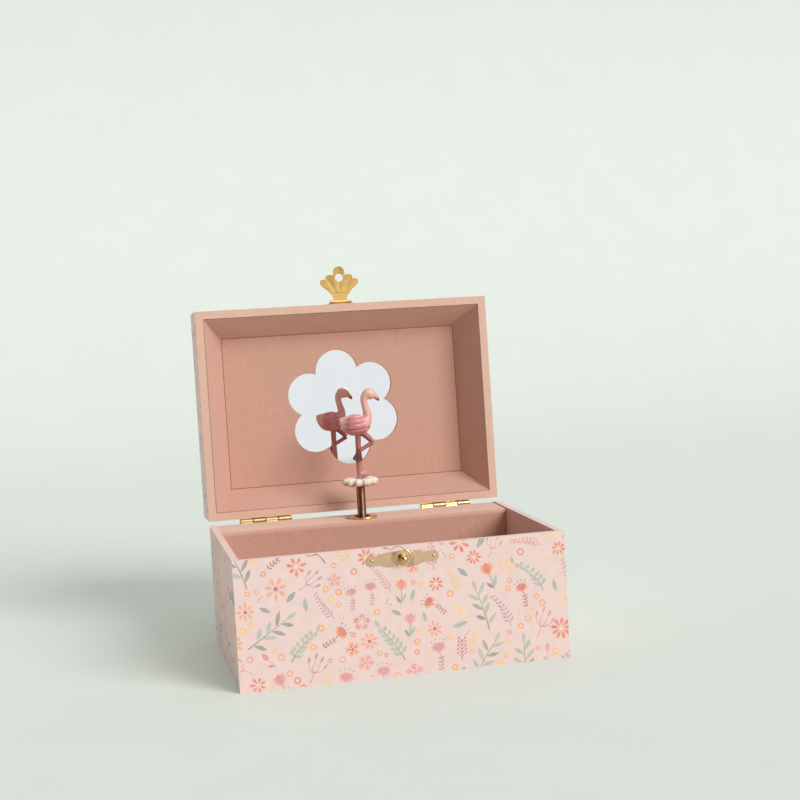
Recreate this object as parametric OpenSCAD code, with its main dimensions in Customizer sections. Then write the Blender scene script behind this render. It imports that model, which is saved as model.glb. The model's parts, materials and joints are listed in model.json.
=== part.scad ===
// Musical jewellery box: a printed paper box with a mirror in its lid and a bird figure on a
// folding post, driven by an 18-note movement. Millimetres. The origin is the centre of the
// base's underside, +Z is up, the front faces -Y. The lid stands open.

/* [Box] */
// Outside width of base and lid
box_w = 190; // [180:1:220]
// Outside depth of base and lid
box_d = 133; // [130:1:160]
// Height of the base
base_h = 73.5; // [71:0.5:90]
// Height of the lid
lid_h = 35.5; // [33:0.5:45]
// Thickness of the base's wall boards
base_wall = 3.6; // [3:0.2:5]
// Thickness of the lid's wall boards
lid_wall = 4.7; // [4:0.1:6]
// Thickness of the base's floor board
floor_t = 3; // [2:0.5:4]
// Thickness of the lid's top board
top_t = 4; // [3:0.5:5]
// Thickness of the printed paper
paper_t = 0.3; // [0.2:0.05:0.5]
// Gap between the closed lid and the base
seam_gap = 0.5; // [0.3:0.1:1]
// Angle at which the open lid rests on its hinge stops
open_angle = 93; // [90:1:100]

/* [Tray and ledge] */
// Thickness of the flocked tray card
tray_card = 0.6; // [0.4:0.1:1]
// Drop of the tray card's edge below the rim
tray_drop = 0.8; // [0.5:0.1:2]
// Depth of the movement compartment, outside of the box to its flocked front
works_d = 32; // [31:0.5:40]
// Thickness of the flocked ledge and of its front
ledge_t = 2; // [1.5:0.1:3]
// Drop of the ledge below the rim
ledge_drop = 0.6; // [0.4:0.1:1.5]
// Radius of the ledge's front edge
ledge_r = 2.5; // [2.2:0.1:4]
// Thickness of the stiffening board behind the ledge's front
divider_t = 1.6; // [1:0.1:2]
// Gap between the ledge's ends and the side boards
ledge_gap = 0.3; // [0.2:0.1:0.6]

/* [Lid lining] */
// Depth of the lid's inside, rim to panel
cavity_d = 22.6; // [21:0.2:24]
// Width of the sloped border, in plan
slope_w = 12.4; // [10:0.2:16]
// Gap between the sloped border and the lid's wall
slope_gap = 0.25; // [0.2:0.05:0.5]
// Thickness of the flocked card in the lid
card_t = 1.4; // [1:0.1:2]
// Radius of one petal of the panel's flower window
petal_r = 14; // [10:0.5:16]
// Distance of the petals' centres from the flower's centre
petal_dist = 24; // [20:0.5:26]
// Distance of the flower's centre from the rear of the closed lid
flower_rear = 66; // [60:0.5:72]
// Side of the square mirror
mirror_w = 84; // [80:1:100]
// Thickness of the mirror
mirror_t = 2; // [1.5:0.1:2.5]

/* [Hinges] */
// Width of one hinge
hinge_w = 32.5; // [24:0.5:40]
// Distance of each hinge's middle from the box's end
hinge_end = 36; // [33:0.5:55]
// Height of one leaf
leaf_h = 8; // [6:0.5:12]
// Thickness of the hinge's sheet
leaf_t = 0.8; // [0.6:0.05:1]
// Distance of the hinge pin behind the rear face
hinge_out = 1.9; // [1.9:0.1:3.5]
// Radius of the hinge's barrel
barrel_r = 1.4; // [1.3:0.05:1.7]
// Radius of the hinge pin
pin_r = 0.75; // [0.6:0.05:0.85]
// Number of knuckles in one hinge
knuckles = 4; // [4:1:5]

/* [Catch] */
// Drop of the keeper's knob below the base's rim
keeper_drop = 7; // [6.5:0.5:11]
// Distance of the keeper plate's nails from its middle
keeper_nail_x = 17.7; // [16:0.1:20]
// Thickness of the catch's sheet brass
catch_t = 0.6; // [0.5:0.05:0.8]
// Radius of the knob's ball
ball_r = 2.3; // [1.8:0.1:2.3]
// Radius of the knob's flange
flange_r = 3.3; // [2.9:0.1:4]
// Radius of the flap's hole
flap_hole_r = 2.6; // [2.5:0.1:3]
// Distance of the flap's hole from the flap's hinge
flap_hole_dist = 15.5; // [14.5:0.5:17]
// Radius of the barrel of the flap's hinge
flap_barrel_r = 1; // [0.9:0.05:1.1]
// Radius of the flap's pin
flap_pin_r = 0.45; // [0.35:0.05:0.5]

/* [Post and figure] */
// Distance of the post's axis from the rear face
post_rear = 17; // [16.5:0.1:17.5]
// Outer radius of the post's tube
tube_r = 2.8; // [2.5:0.1:3]
// Bore radius of the post's tube
tube_bore = 2.2; // [2:0.05:2.25]
// Height of the fold's axis above the ledge
fold_up = 4.4; // [4.2:0.1:5]
// Length of tube below the fold's axis
tube_below = 5; // [4:0.5:5]
// Height of the scalloped disc's underside above the ledge
disc_up = 20.6; // [20:0.1:24]
// Thickness of the scalloped disc
disc_t = 5; // [4:0.1:5.2]
// Outer radius of the scalloped disc
disc_r = 11.6; // [10:0.1:12]
// Number of scallops
scallops = 10; // [8:1:14]
// Height of the bird above the disc
bird_h = 56; // [50:1:59]
// Bore radius of the brass ring
ring_bore = 5.2; // [5.1:0.1:5.6]
// Outer radius of the brass ring's flange
ring_r = 9.5; // [8.5:0.1:10]
// Height of the brass ring's flange above the ledge
ring_up = 1.2; // [0.8:0.1:1.2]

/* [Movement] */
// Module of the movement's gears
gear_m = 0.5; // [0.5:0.01:0.52]
// Teeth of the crown gear on the spring barrel
crown_n = 48; // [48:4:52]
// Teeth of the pinions that the crown gear drives
pinion_n = 12; // [12:1:12]
// Teeth of the gear on the pinned cylinder
train_n = 30; // [28:2:30]
// Teeth of the governor's pinion
idler_n = 10; // [9:1:10]
// Teeth of the governor's wheel
wheel_n = 24; // [22:2:24]
// Starts of the worm
worm_n = 3; // [2:1:3]
// Drop of the spring barrel's axis below the ledge's underside
works_drop = 34.9; // [34.4:0.5:36.9]
// Thickness of the bedplate
bed_t = 2.5; // [2:0.1:3]
// Radius of the spindle
spindle_r = 1.2; // [1:0.05:1.4]
// Radius of the winding arbor
arbor_r = 1.5; // [1.3:0.05:1.7]
// Running clearance of every shaft in its bore
run = 0.05; // [0.03:0.01:0.08]
// Radius of the pinned cylinder
cyl_r = 6.5; // [6:0.1:6.8]
// Height of the cylinder's pins
pin_h = 0.6; // [0.4:0.05:0.7]
// Number of comb teeth
notes = 18; // [15:1:18]
// Travel of the stop wire under the lid
stop_travel = 3.5; // [3:0.1:3.6]

/* [Hidden] */
$fn = 48;
eps = 0.01;
half_w = box_w / 2;
half_d = box_d / 2;

// Inside faces and levels of the base
in_x = half_w - paper_t - base_wall;
in_y = half_d - paper_t - base_wall;
floor_top = paper_t + floor_t;
ledge_top = base_h - ledge_drop;
ledge_low = ledge_top - ledge_t;
works_z = ledge_low - works_drop;
works_y = half_d - works_d;
works_in_y = works_y + ledge_t + divider_t;

// Inside faces and levels of the closed lid
rim_z = base_h + seam_gap;
lid_in_x = half_w - paper_t - lid_wall;
lid_in_y = half_d - paper_t - lid_wall;
panel_z = rim_z + cavity_d;
glass_z = panel_z + card_t;
top_z = rim_z + lid_h;
roof_z = top_z - paper_t - top_t;
flower_y = half_d - flower_rear;
slope_t = card_t * norm([slope_w, cavity_d]) / cavity_d;

// Hinge line
hinge_x = half_w - hinge_end;
hinge_y = half_d + hinge_out;
hinge_z = base_h + seam_gap / 2;
knuckle_w = hinge_w / knuckles;
knuckle_gap = 0.12;
leaf_edge = 1.8;
nail_r = 0.6;
nail_head_r = 1.05;
nail_head_t = 0.5;
nail_l = 3;
hinge_nail_x = hinge_w / 2 - 4.5;
hinge_nail_z = leaf_edge + leaf_h / 2;

// Catch
keeper_z = base_h - keeper_drop;
flange_t = 0.5;
knob_stem_r = 1.2;
flap_gap = 0.1;
flap_y = -half_d - catch_t - flap_gap - max(flap_barrel_r, flange_t + catch_t / 2);
flap_z = keeper_z + flap_hole_dist;
hasp_w = 19;
hasp_h = 6.5;
hasp_nail_x = 7.6;
hasp_nail_up = 3.6;
flap_knuckle_w = 8.2;
hasp_knuckle_w = 3;
knob_ball_y = flap_y - catch_t / 2 - flap_gap - ball_r * 0.7;

// Post and figure
post_y = half_d - post_rear;
fold_z = ledge_top + fold_up;
tube_low = fold_z - tube_below;
disc_z = ledge_top + disc_up;
disc_top = disc_z + disc_t;
tube_top = disc_z + disc_t / 2;
spring_r = 1.5;
spring_wire = 0.32;
plug_low = fold_z + 3;
plug_l = 8;
spindle_top = ledge_low - 4;
stub_l = 1.8;
ring_wall = 0.8;

// Movement, seen from the front: X to the right, Z up
bed_y = in_y - bed_t;
crown_r = gear_m * crown_n / 2;
pinion_r = gear_m * pinion_n / 2;
add = 0.85 * gear_m;
ded = 1.15 * gear_m;
backlash = 0.07;
crown_y = post_y + pinion_r;
crown_w = 1.2;
drum_r = crown_r + crown_w;
drum_y = crown_y + ded;
drum_end = bed_y - 0.6;
spindle_pinion_z = works_z + crown_r;
pinion_w = 3;
spindle_low = spindle_pinion_z - 5.2;
bearing_t = 1.4;
bearing_w = 6;
cyl_pinion_x = crown_r - pinion_w / 2;
post_plate_x = drum_r + 0.4;
cyl_x = post_plate_x + bearing_t + 0.4;
cyl_l = 17;
right_plate_x = cyl_x + cyl_l + 0.6;
plate_t = 1;
train_x = right_plate_x + plate_t + 0.5;
train_w = 1.5;
train_r = gear_m * train_n / 2;
idler_r = gear_m * idler_n / 2;
idler_z = works_z + train_r + idler_r;
wheel_x = train_x + train_w + 0.6;
wheel_w = 2;
wheel_r = gear_m * wheel_n / 2;
worm_r = 1.5;
worm_l = 8;
worm_x = wheel_x + wheel_w / 2;
worm_y = post_y + wheel_r + worm_r + 0.15;
worm_lead = PI * gear_m * worm_n;
wheel_helix = atan(worm_lead / (2 * PI * worm_r));
axle_r = 0.8;
worm_axle_r = 0.6;
fan_z = idler_z + worm_l / 2 + 1;
fan_h = 8;
fan_r = 3.4;
frame_low = works_z;
frame_high = fan_z + fan_h + 1;
frame_t = 1.4;
arm_w = 5;
arm_end = 2;
idler_plate_x = wheel_x + wheel_w + 0.7;
disc2_z = frame_high + frame_t + 0.3;
frame_post_x = worm_x + fan_r + 0.6;
comb_tip_z = works_z - cyl_r - pin_h - 0.12;
comb_low_z = floor_top + 4.7;
comb_root_z = comb_low_z + 0.433 * (comb_tip_z - comb_low_z);
comb_t = 1;
comb_y = post_y - comb_t / 2;
comb_margin = 0.6;
note_pitch = (cyl_l - 2 * comb_margin) / notes;
bed_left = -drum_r - 4;
bed_right = right_plate_x + plate_t;
bed_ear = frame_post_x + 3;
bed_low = floor_top + 2.7;
bed_high = works_z + drum_r + 8;
screw_r = 1.1;
screw_head_r = 2;
screw_head_t = 1.2;
key_gap = 1.5;
key_hole_r = arbor_r + 2;
key_hub_r = 3.2;
key_hub_l = 9;
key_t = 1.6;
key_wing_r = 5.5;
key_wing_x = 6.5;
key_eye_r = 2.2;
key_eye_x = 7;
key_neck_w = 8;
key_neck_l = 4;

// Stop wire
wire_r = 0.6;
wire_x = 2.5;
wire_y = in_y - 2.8;
wire_top = ledge_top + 5.8;
foot_gap = 0.15;
foot_z = disc2_z + 0.6 + foot_gap + stop_travel;
run_z = foot_z + 1.2;
stop_spring_r = 1.35;
stop_spring_wire = 0.25;
tab_z = bed_high;
wire_hole_r = wire_r + 0.3;

PAPER = "#e6c3bd";
FLOCK = "#cf937f";
BOARD = "#b99b78";
BRASS = "#d2a648";
STEEL = "#b8bcc0";
ZINC = "#9da0a2";

// ---- Helpers -------------------------------------------------------------------------

// A block between two opposite corners
module block(a, b) {
  translate(a) cube(b - a);
}

// A cylinder along Y, starting at a point
module rod_y(at, r, l) {
  translate(at) rotate([-90, 0, 0]) cylinder(r = r, h = l);
}

// A cylinder along X, starting at a point
module rod_x(at, r, l) {
  translate(at) rotate([0, 90, 0]) cylinder(r = r, h = l);
}

// A cylinder along Z, starting at a point
module rod_z(at, r, l) {
  translate(at) cylinder(r = r, h = l);
}

// Turns what is drawn on the closed lid to where the open lid stands
module on_lid() {
  translate([0, hinge_y, hinge_z])
    rotate([-open_angle, 0, 0])
      translate([0, -hinge_y, -hinge_z]) children();
}

// A profile in Y and Z, drawn along X
module along_x(x, l) {
  translate([x, 0, 0]) rotate([90, 0, 90]) linear_extrude(l) children();
}

// An outline in X and Z, with its thickness towards +Y
module upright(y, t) {
  translate([0, y + t, 0]) rotate([90, 0, 0]) linear_extrude(t) children();
}

// Outline of a spur gear with straight-sided teeth; a tooth points along +Y
module gear_outline(n) {
  r = gear_m * n / 2;
  pitch_a = 90 / n - backlash * 180 / (PI * r);
  tip_a = pitch_a - add * tan(20) * 180 / (PI * r);
  root_a = min(pitch_a + ded * tan(20) * 180 / (PI * r), 178 / n);
  polygon([
    for (k = [0 : n - 1], p = [[r - ded, -root_a], [r + add, -tip_a],
                               [r + add, tip_a], [r - ded, root_a]])
      let (a = 90 + k * 360 / n + p[1]) p[0] * [cos(a), sin(a)]
  ]);
}

// A coil spring that stands on z = 0: a round wire swept along a helix
module coil(r, wire, turns, h, sides = 6, steps = 14) {
  rings = turns * steps;
  rise = h - 2 * wire;
  points = [
    for (i = [0 : rings], j = [0 : sides - 1])
      let (a = i * 360 / steps, b = j * 360 / sides)
        [(r + wire * cos(b)) * cos(a), (r + wire * cos(b)) * sin(a),
         wire + rise * i / rings + wire * sin(b)]
  ];
  walls = [
    for (i = [0 : rings - 1], j = [0 : sides - 1])
      let (k = (j + 1) % sides)
        [i * sides + j, (i + 1) * sides + j, (i + 1) * sides + k, i * sides + k]
  ];
  first = [for (j = [0 : sides - 1]) j];
  last = [for (j = [sides - 1 : -1 : 0]) rings * sides + j];
  polyhedron(points, concat(walls, [first, last]), convexity = 10);
}

// A domed nail that points along +Y from a surface at y = 0
module nail() {
  rod_y([0, 0, 0], nail_r, nail_l);
  intersection() {
    translate([0, nail_head_r * 0.9, 0]) sphere(nail_head_r * 1.3);
    rod_y([0, -nail_head_t, 0], nail_head_r, nail_head_t);
  }
}

// ---- Base ----------------------------------------------------------------------------

module bottom_paper() {
  x = half_w - paper_t;
  y = half_d - paper_t;
  color(PAPER) block([-x, -y, 0], [x, y, paper_t]);
}

module base_floor() {
  color(BOARD) block([-in_x, -in_y, paper_t], [in_x, in_y, floor_top]);
}

module base_side_board(side) {
  x = side * (in_x + base_wall / 2);
  color(BOARD) block([x - base_wall / 2, -half_d + paper_t, paper_t],
                     [x + base_wall / 2, half_d - paper_t, base_h - paper_t]);
}

module base_left_board() {
  base_side_board(-1);
}

module base_right_board() {
  base_side_board(1);
}

module base_front_board() {
  color(BOARD) block([-in_x, -half_d + paper_t, paper_t], [in_x, -in_y, base_h - paper_t]);
}

module base_rear_board() {
  color(BOARD) difference() {
    block([-in_x, in_y, paper_t], [in_x, half_d - paper_t, ledge_low]);
    rod_y([0, in_y - 1, works_z], key_hole_r, base_wall + 2);
  }
}

// Printed paper on the four sides, turned over the rim at the front and the two ends
module base_paper_wrap() {
  color(PAPER) difference() {
    block([-half_w, -half_d, 0], [half_w, half_d, base_h]);
    block([-half_w + paper_t, -half_d + paper_t, -1], [half_w - paper_t, half_d - paper_t, base_h - paper_t]);
    block([-in_x, -in_y, ledge_low], [in_x, half_d + 1, base_h + 1]);
    rod_y([0, in_y, works_z], key_hole_r, base_wall + 2);
  }
}

// Flocked card that lines the tray: a floor and three walls
module tray_liner() {
  rim = base_h - tray_drop;
  color(FLOCK) difference() {
    block([-in_x, -in_y, floor_top], [in_x, works_y, rim]);
    block([-in_x + tray_card, -in_y + tray_card, floor_top + tray_card],
          [in_x - tray_card, works_y + 1, rim + 1]);
  }
}

module divider_board() {
  color(BOARD) block([-in_x, works_in_y - divider_t, floor_top], [in_x, works_in_y, ledge_low]);
}

// Flocked front and top of the movement compartment, bent from one card
module ledge_cover() {
  x = in_x - ledge_gap;
  color(FLOCK) difference() {
    along_x(-x, 2 * x) difference() {
      union() {
        translate([works_y, floor_top]) square([works_d, ledge_top - ledge_r - floor_top]);
        translate([works_y + ledge_r, floor_top]) square([works_d - ledge_r, ledge_top - floor_top]);
        translate([works_y + ledge_r, ledge_top - ledge_r]) circle(ledge_r);
      }
      translate([works_y + ledge_t, floor_top - 1]) square([works_d, ledge_low - floor_top + 1]);
    }
    rod_z([0, post_y, ledge_low - 1], ring_bore + ring_wall, ledge_t + 2);
    rod_z([wire_x, wire_y, ledge_low - 1], wire_hole_r, ledge_t + 2);
  }
}

// ---- Lid, drawn closed and then turned open ------------------------------------------

module lid_top_board() {
  color(BOARD) on_lid() block([-half_w + paper_t, -half_d + paper_t, roof_z],
                              [half_w - paper_t, half_d - paper_t, top_z - paper_t]);
}

module lid_side_board(side) {
  x = side * (lid_in_x + lid_wall / 2);
  color(BOARD) on_lid() block([x - lid_wall / 2, -half_d + paper_t, rim_z + paper_t],
                              [x + lid_wall / 2, half_d - paper_t, roof_z]);
}

module lid_left_board() {
  lid_side_board(-1);
}

module lid_right_board() {
  lid_side_board(1);
}

module lid_cross_board(side) {
  y = side * (lid_in_y + lid_wall / 2);
  color(BOARD) on_lid() block([-lid_in_x, y - lid_wall / 2, rim_z + paper_t],
                              [lid_in_x, y + lid_wall / 2, roof_z]);
}

module lid_front_board() {
  lid_cross_board(-1);
}

module lid_rear_board() {
  lid_cross_board(1);
}

module lid_paper_wrap() {
  color(PAPER) on_lid() difference() {
    block([-half_w, -half_d, rim_z + paper_t], [half_w, half_d, top_z]);
    block([-half_w + paper_t, -half_d + paper_t, rim_z - 1],
          [half_w - paper_t, half_d - paper_t, top_z - paper_t]);
  }
}

// Flocked strip on the lid's rim
module lid_rim_trim() {
  color(FLOCK) on_lid() difference() {
    block([-half_w, -half_d, rim_z], [half_w, half_d, rim_z + paper_t]);
    block([-lid_in_x, -lid_in_y, rim_z - 1], [lid_in_x, lid_in_y, rim_z + paper_t + 1]);
  }
}

// One side of the sloped border, mitred at both ends; its foot lies on the X axis and it
// leans towards +Y as it rises
module slope_strip(l) {
  intersection() {
    along_x(-l / 2, l) polygon([
      [slope_gap, 0], [slope_w, cavity_d], [slope_w - slope_t, cavity_d],
      [slope_gap, slope_t * cavity_d / slope_w]
    ]);
    linear_extrude(cavity_d) polygon([
      [-l / 2, 0], [l / 2, 0], [l / 2 - slope_w, slope_w], [-l / 2 + slope_w, slope_w]
    ]);
  }
}

module slope_front() {
  color(FLOCK) on_lid() translate([0, -lid_in_y, rim_z]) slope_strip(2 * lid_in_x);
}

module slope_rear() {
  color(FLOCK) on_lid() translate([0, lid_in_y, rim_z]) rotate(180) slope_strip(2 * lid_in_x);
}

module slope_left() {
  color(FLOCK) on_lid() translate([-lid_in_x, 0, rim_z]) rotate(-90) slope_strip(2 * lid_in_y);
}

module slope_right() {
  color(FLOCK) on_lid() translate([lid_in_x, 0, rim_z]) rotate(90) slope_strip(2 * lid_in_y);
}

// Flocked panel with a flower window of six petals
module lid_panel() {
  color(FLOCK) on_lid() difference() {
    block([-lid_in_x, -lid_in_y, panel_z], [lid_in_x, lid_in_y, glass_z]);
    translate([0, flower_y, panel_z - 1]) {
      cylinder(r = petal_dist, h = card_t + 2);
      for (k = [0 : 5]) {
        rotate(30 + k * 60) translate([petal_dist, 0, 0]) cylinder(r = petal_r, h = card_t + 2);
      }
    }
  }
}

module mirror_plate(grow) {
  w = mirror_w / 2 + grow;
  block([-w, flower_y - w, glass_z], [w, flower_y + w, glass_z + mirror_t]);
}

module mirror_glass() {
  color("#dfe7ea") on_lid() mirror_plate(0);
}

// Board that fills the space behind the panel and holds the mirror in a pocket
module mirror_backing() {
  color(BOARD) on_lid() difference() {
    block([-lid_in_x, -lid_in_y, glass_z], [lid_in_x, lid_in_y, roof_z]);
    mirror_plate(0.3);
  }
}

// ---- Hinges --------------------------------------------------------------------------

// Cross-section of a base leaf's knuckle with its neck, around the pin
module knuckle_outline() {
  a = barrel_r * cos(50);
  b = barrel_r * sin(50);
  circle(barrel_r);
  polygon([
    [-hinge_out, -leaf_edge - 1.2], [-hinge_out + leaf_t, -leaf_edge - 1.2],
    [a, -b], [-a, b], [-hinge_out, -leaf_edge]
  ]);
}

// A leaf below the pin with every second knuckle, drawn around the pin's middle
module leaf(first) {
  difference() {
    union() {
      block([-hinge_w / 2, -hinge_out, -leaf_edge - leaf_h], [hinge_w / 2, -hinge_out + leaf_t, -leaf_edge]);
      for (k = [first : 2 : knuckles - 1]) {
        along_x(-hinge_w / 2 + k * knuckle_w + knuckle_gap / 2, knuckle_w - knuckle_gap) knuckle_outline();
      }
    }
    rod_x([-hinge_w / 2 - 1, 0, 0], pin_r + run, hinge_w + 2);
    for (s = [-1, 1]) {
      rod_y([s * hinge_nail_x, -hinge_out - 1, -hinge_nail_z], nail_r, leaf_t + 2);
    }
  }
}

module base_leaf(side) {
  color(BRASS) translate([side * hinge_x, hinge_y, hinge_z]) leaf(0);
}

module lid_leaf(side) {
  color(BRASS) on_lid() translate([side * hinge_x, hinge_y, hinge_z]) mirror([0, 0, 1]) leaf(1);
}

module hinge_pin(side) {
  head_t = 0.5;
  color(BRASS) translate([side * hinge_x, hinge_y, hinge_z]) {
    rod_x([-hinge_w / 2 - head_t, 0, 0], pin_r, hinge_w + 2 * head_t);
    for (x = [-hinge_w / 2 - head_t, hinge_w / 2]) {
      rod_x([x, 0, 0], pin_r + 0.3, head_t);
    }
  }
}

module left_hinge_base_leaf() {
  base_leaf(-1);
}

module left_hinge_lid_leaf() {
  lid_leaf(-1);
}

module left_hinge_pin() {
  hinge_pin(-1);
}

module right_hinge_base_leaf() {
  base_leaf(1);
}

module right_hinge_lid_leaf() {
  lid_leaf(1);
}

module right_hinge_pin() {
  hinge_pin(1);
}

// Nails of the hinges' base leaves and of the keeper plate
module base_nails() {
  color(BRASS) {
    for (side = [-1, 1], s = [-1, 1]) {
      translate([side * hinge_x + s * hinge_nail_x, half_d + leaf_t, hinge_z - hinge_nail_z])
        rotate(180) nail();
    }
    for (s = [-1, 1]) {
      translate([s * keeper_nail_x, -half_d - catch_t, keeper_z]) nail();
    }
  }
}

// Nails of the hinges' lid leaves and of the hasp plate
module lid_nails() {
  color(BRASS) on_lid() {
    for (side = [-1, 1], s = [-1, 1]) {
      translate([side * hinge_x + s * hinge_nail_x, half_d + leaf_t, hinge_z + hinge_nail_z])
        rotate(180) nail();
    }
    for (s = [-1, 1]) {
      translate([s * hasp_nail_x, -half_d - catch_t, flap_z + hasp_nail_up]) nail();
    }
  }
}

// ---- Catch ---------------------------------------------------------------------------

// Plate on the lid's front with two knuckles for the flap
module hasp_plate() {
  color(BRASS) on_lid() difference() {
    union() {
      upright(-half_d - catch_t, catch_t) union() {
        translate([-hasp_w / 2 + 2, flap_z - 0.4]) square([hasp_w - 4, hasp_h]);
        for (s = [-1, 1]) {
          translate([s * (hasp_w / 2 - 3.2), flap_z - 0.4 + hasp_h / 2]) circle(hasp_h / 2);
        }
      }
      for (s = [-1, 1]) {
        x = s * (flap_knuckle_w + hasp_knuckle_w) / 2 - hasp_knuckle_w / 2 + s * knuckle_gap;
        along_x(x, hasp_knuckle_w) union() {
          translate([flap_y, flap_z]) circle(flap_barrel_r);
          translate([flap_y, flap_z]) square([-half_d - flap_y, flap_barrel_r]);
        }
      }
    }
    rod_x([-hasp_w, flap_y, flap_z], flap_pin_r + run, 2 * hasp_w);
    for (s = [-1, 1]) {
      rod_y([s * hasp_nail_x, -half_d - catch_t - 1, flap_z + hasp_nail_up], nail_r, catch_t + 2);
    }
  }
}

// Outline of the flap, from its hinge along -Y to the tip, drawn for a hole 15.5 from the hinge
module flap_outline() {
  half = [
    [4.3, 1.7], [5, 3.7], [6.7, 6.2], [8.7, 8.1], [11, 9.9], [12.4, 11.6], [12.7, 13], [12.2, 14.2],
    [11, 14.7], [9, 14.6], [8.9, 15.6], [8.6, 16.8], [7.6, 17.5], [3, 17.5]
  ];
  n = len(half);
  translate([-flap_knuckle_w / 2, -3]) square([flap_knuckle_w, 3]);
  scale(flap_hole_dist / 15.5) {
    polygon(concat(
      [for (p = half) [p[0], -p[1]]],
      [for (i = [n - 1 : -1 : 0]) [-half[i][0], -half[i][1]]]
    ));
    translate([0, -19.2]) circle(3.7);
  }
}

// Scalloped flap; on the open lid it stands straight out
module hasp_flap() {
  color(BRASS) on_lid() translate([0, flap_y, flap_z]) rotate([-90, 0, 0]) difference() {
    union() {
      translate([0, catch_t / 2, 0]) rotate([90, 0, 0]) linear_extrude(catch_t) difference() {
        flap_outline();
        translate([0, -flap_hole_dist]) circle(flap_hole_r);
      }
      rod_x([-flap_knuckle_w / 2, 0, 0], flap_barrel_r, flap_knuckle_w);
    }
    rod_x([-hasp_w, 0, 0], flap_pin_r + run, 2 * hasp_w);
  }
}

module hasp_pin() {
  l = flap_knuckle_w + 2 * hasp_knuckle_w + 4 * knuckle_gap;
  color(BRASS) on_lid() rod_x([-l / 2, flap_y, flap_z], flap_pin_r, l);
}

// Long keeper plate with a round ear at each end, drawn for nails 17.7 from its middle
module keeper_plate() {
  color(BRASS) difference() {
    upright(-half_d - catch_t, catch_t) difference() {
      translate([0, keeper_z]) scale(keeper_nail_x / 17.7) {
        hull() {
          circle(4.5);
          for (s = [-1, 1]) {
            translate([s * 9.2, 0]) circle(3.8);
          }
        }
        square([34, 5.4], center = true);
        for (s = [-1, 1]) {
          translate([s * 17.7, 0]) circle(3);
        }
      }
      translate([0, keeper_z]) circle(knob_stem_r);
    }
    for (s = [-1, 1]) {
      rod_y([s * keeper_nail_x, -half_d - catch_t - 1, keeper_z], nail_r, catch_t + 2);
    }
  }
}

// Ball knob with a flange, riveted through the keeper plate
module keeper_knob() {
  color(BRASS) translate([0, 0, keeper_z]) rotate([90, 0, 0]) {
    translate([0, 0, half_d - nail_l]) cylinder(r = knob_stem_r, h = -knob_ball_y - half_d + nail_l);
    translate([0, 0, half_d + catch_t]) cylinder(r1 = flange_r, r2 = flange_r - 0.3, h = flange_t);
    translate([0, 0, -knob_ball_y]) sphere(ball_r);
  }
}

// ---- Post and figure -----------------------------------------------------------------

// Eyelet in the ledge that the post rises through
module brass_ring() {
  lip = ring_up / 2;
  color(BRASS) translate([0, post_y, 0]) rotate_extrude() {
    translate([ring_bore, ledge_low - 0.6]) square([ring_wall, ledge_t + ring_up + 0.6]);
    translate([ring_bore, ledge_top]) square([ring_r - lip - ring_bore, ring_up]);
    translate([ring_bore, ledge_top]) square([ring_r - ring_bore, ring_up - lip]);
    translate([ring_r - lip, ledge_top + ring_up - lip]) circle(lip);
  }
}

// Spring that lets the post fold; it joins the spindle to the plug in the tube
module post_spring() {
  low = spindle_top;
  color(STEEL) translate([0, post_y, low]) coil(spring_r, spring_wire, 9, plug_low - low);
}

module spring_plug() {
  color(STEEL) {
    rod_z([0, post_y, plug_low], tube_bore - run, plug_l);
    rod_z([0, post_y, plug_low - stub_l], spring_r - spring_wire - run, stub_l);
  }
}

module post_tube() {
  color("#c9c7c6") difference() {
    rod_z([0, post_y, tube_low], tube_r, tube_top - tube_low);
    rod_z([0, post_y, tube_low - 1], tube_bore, plug_low + plug_l + run - tube_low + 1);
  }
}

// Scalloped disc that the bird stands on
module scalloped_disc() {
  lobe_r = disc_t * 0.66;
  color("#efe0cd") translate([0, post_y, 0]) difference() {
    intersection() {
      union() {
        translate([0, 0, disc_z]) cylinder(r = disc_r - lobe_r, h = disc_t);
        for (k = [0 : scallops - 1]) {
          rotate(k * 360 / scallops) translate([disc_r - lobe_r, 0, disc_z + disc_t / 2]) sphere(lobe_r);
        }
      }
      translate([0, 0, disc_z]) cylinder(r = disc_r + 1, h = disc_t);
    }
    translate([0, 0, disc_z - 1]) cylinder(r = tube_r, h = tube_top - disc_z + 1);
  }
}

// A chain of balls [x, y, z, radius] with skin stretched between neighbours
module limb(balls) {
  for (i = [0 : len(balls) - 2]) {
    hull() {
      for (b = [balls[i], balls[i + 1]]) {
        translate([b[0], b[1], b[2]]) sphere(b[3], $fn = 14);
      }
    }
  }
}

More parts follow.
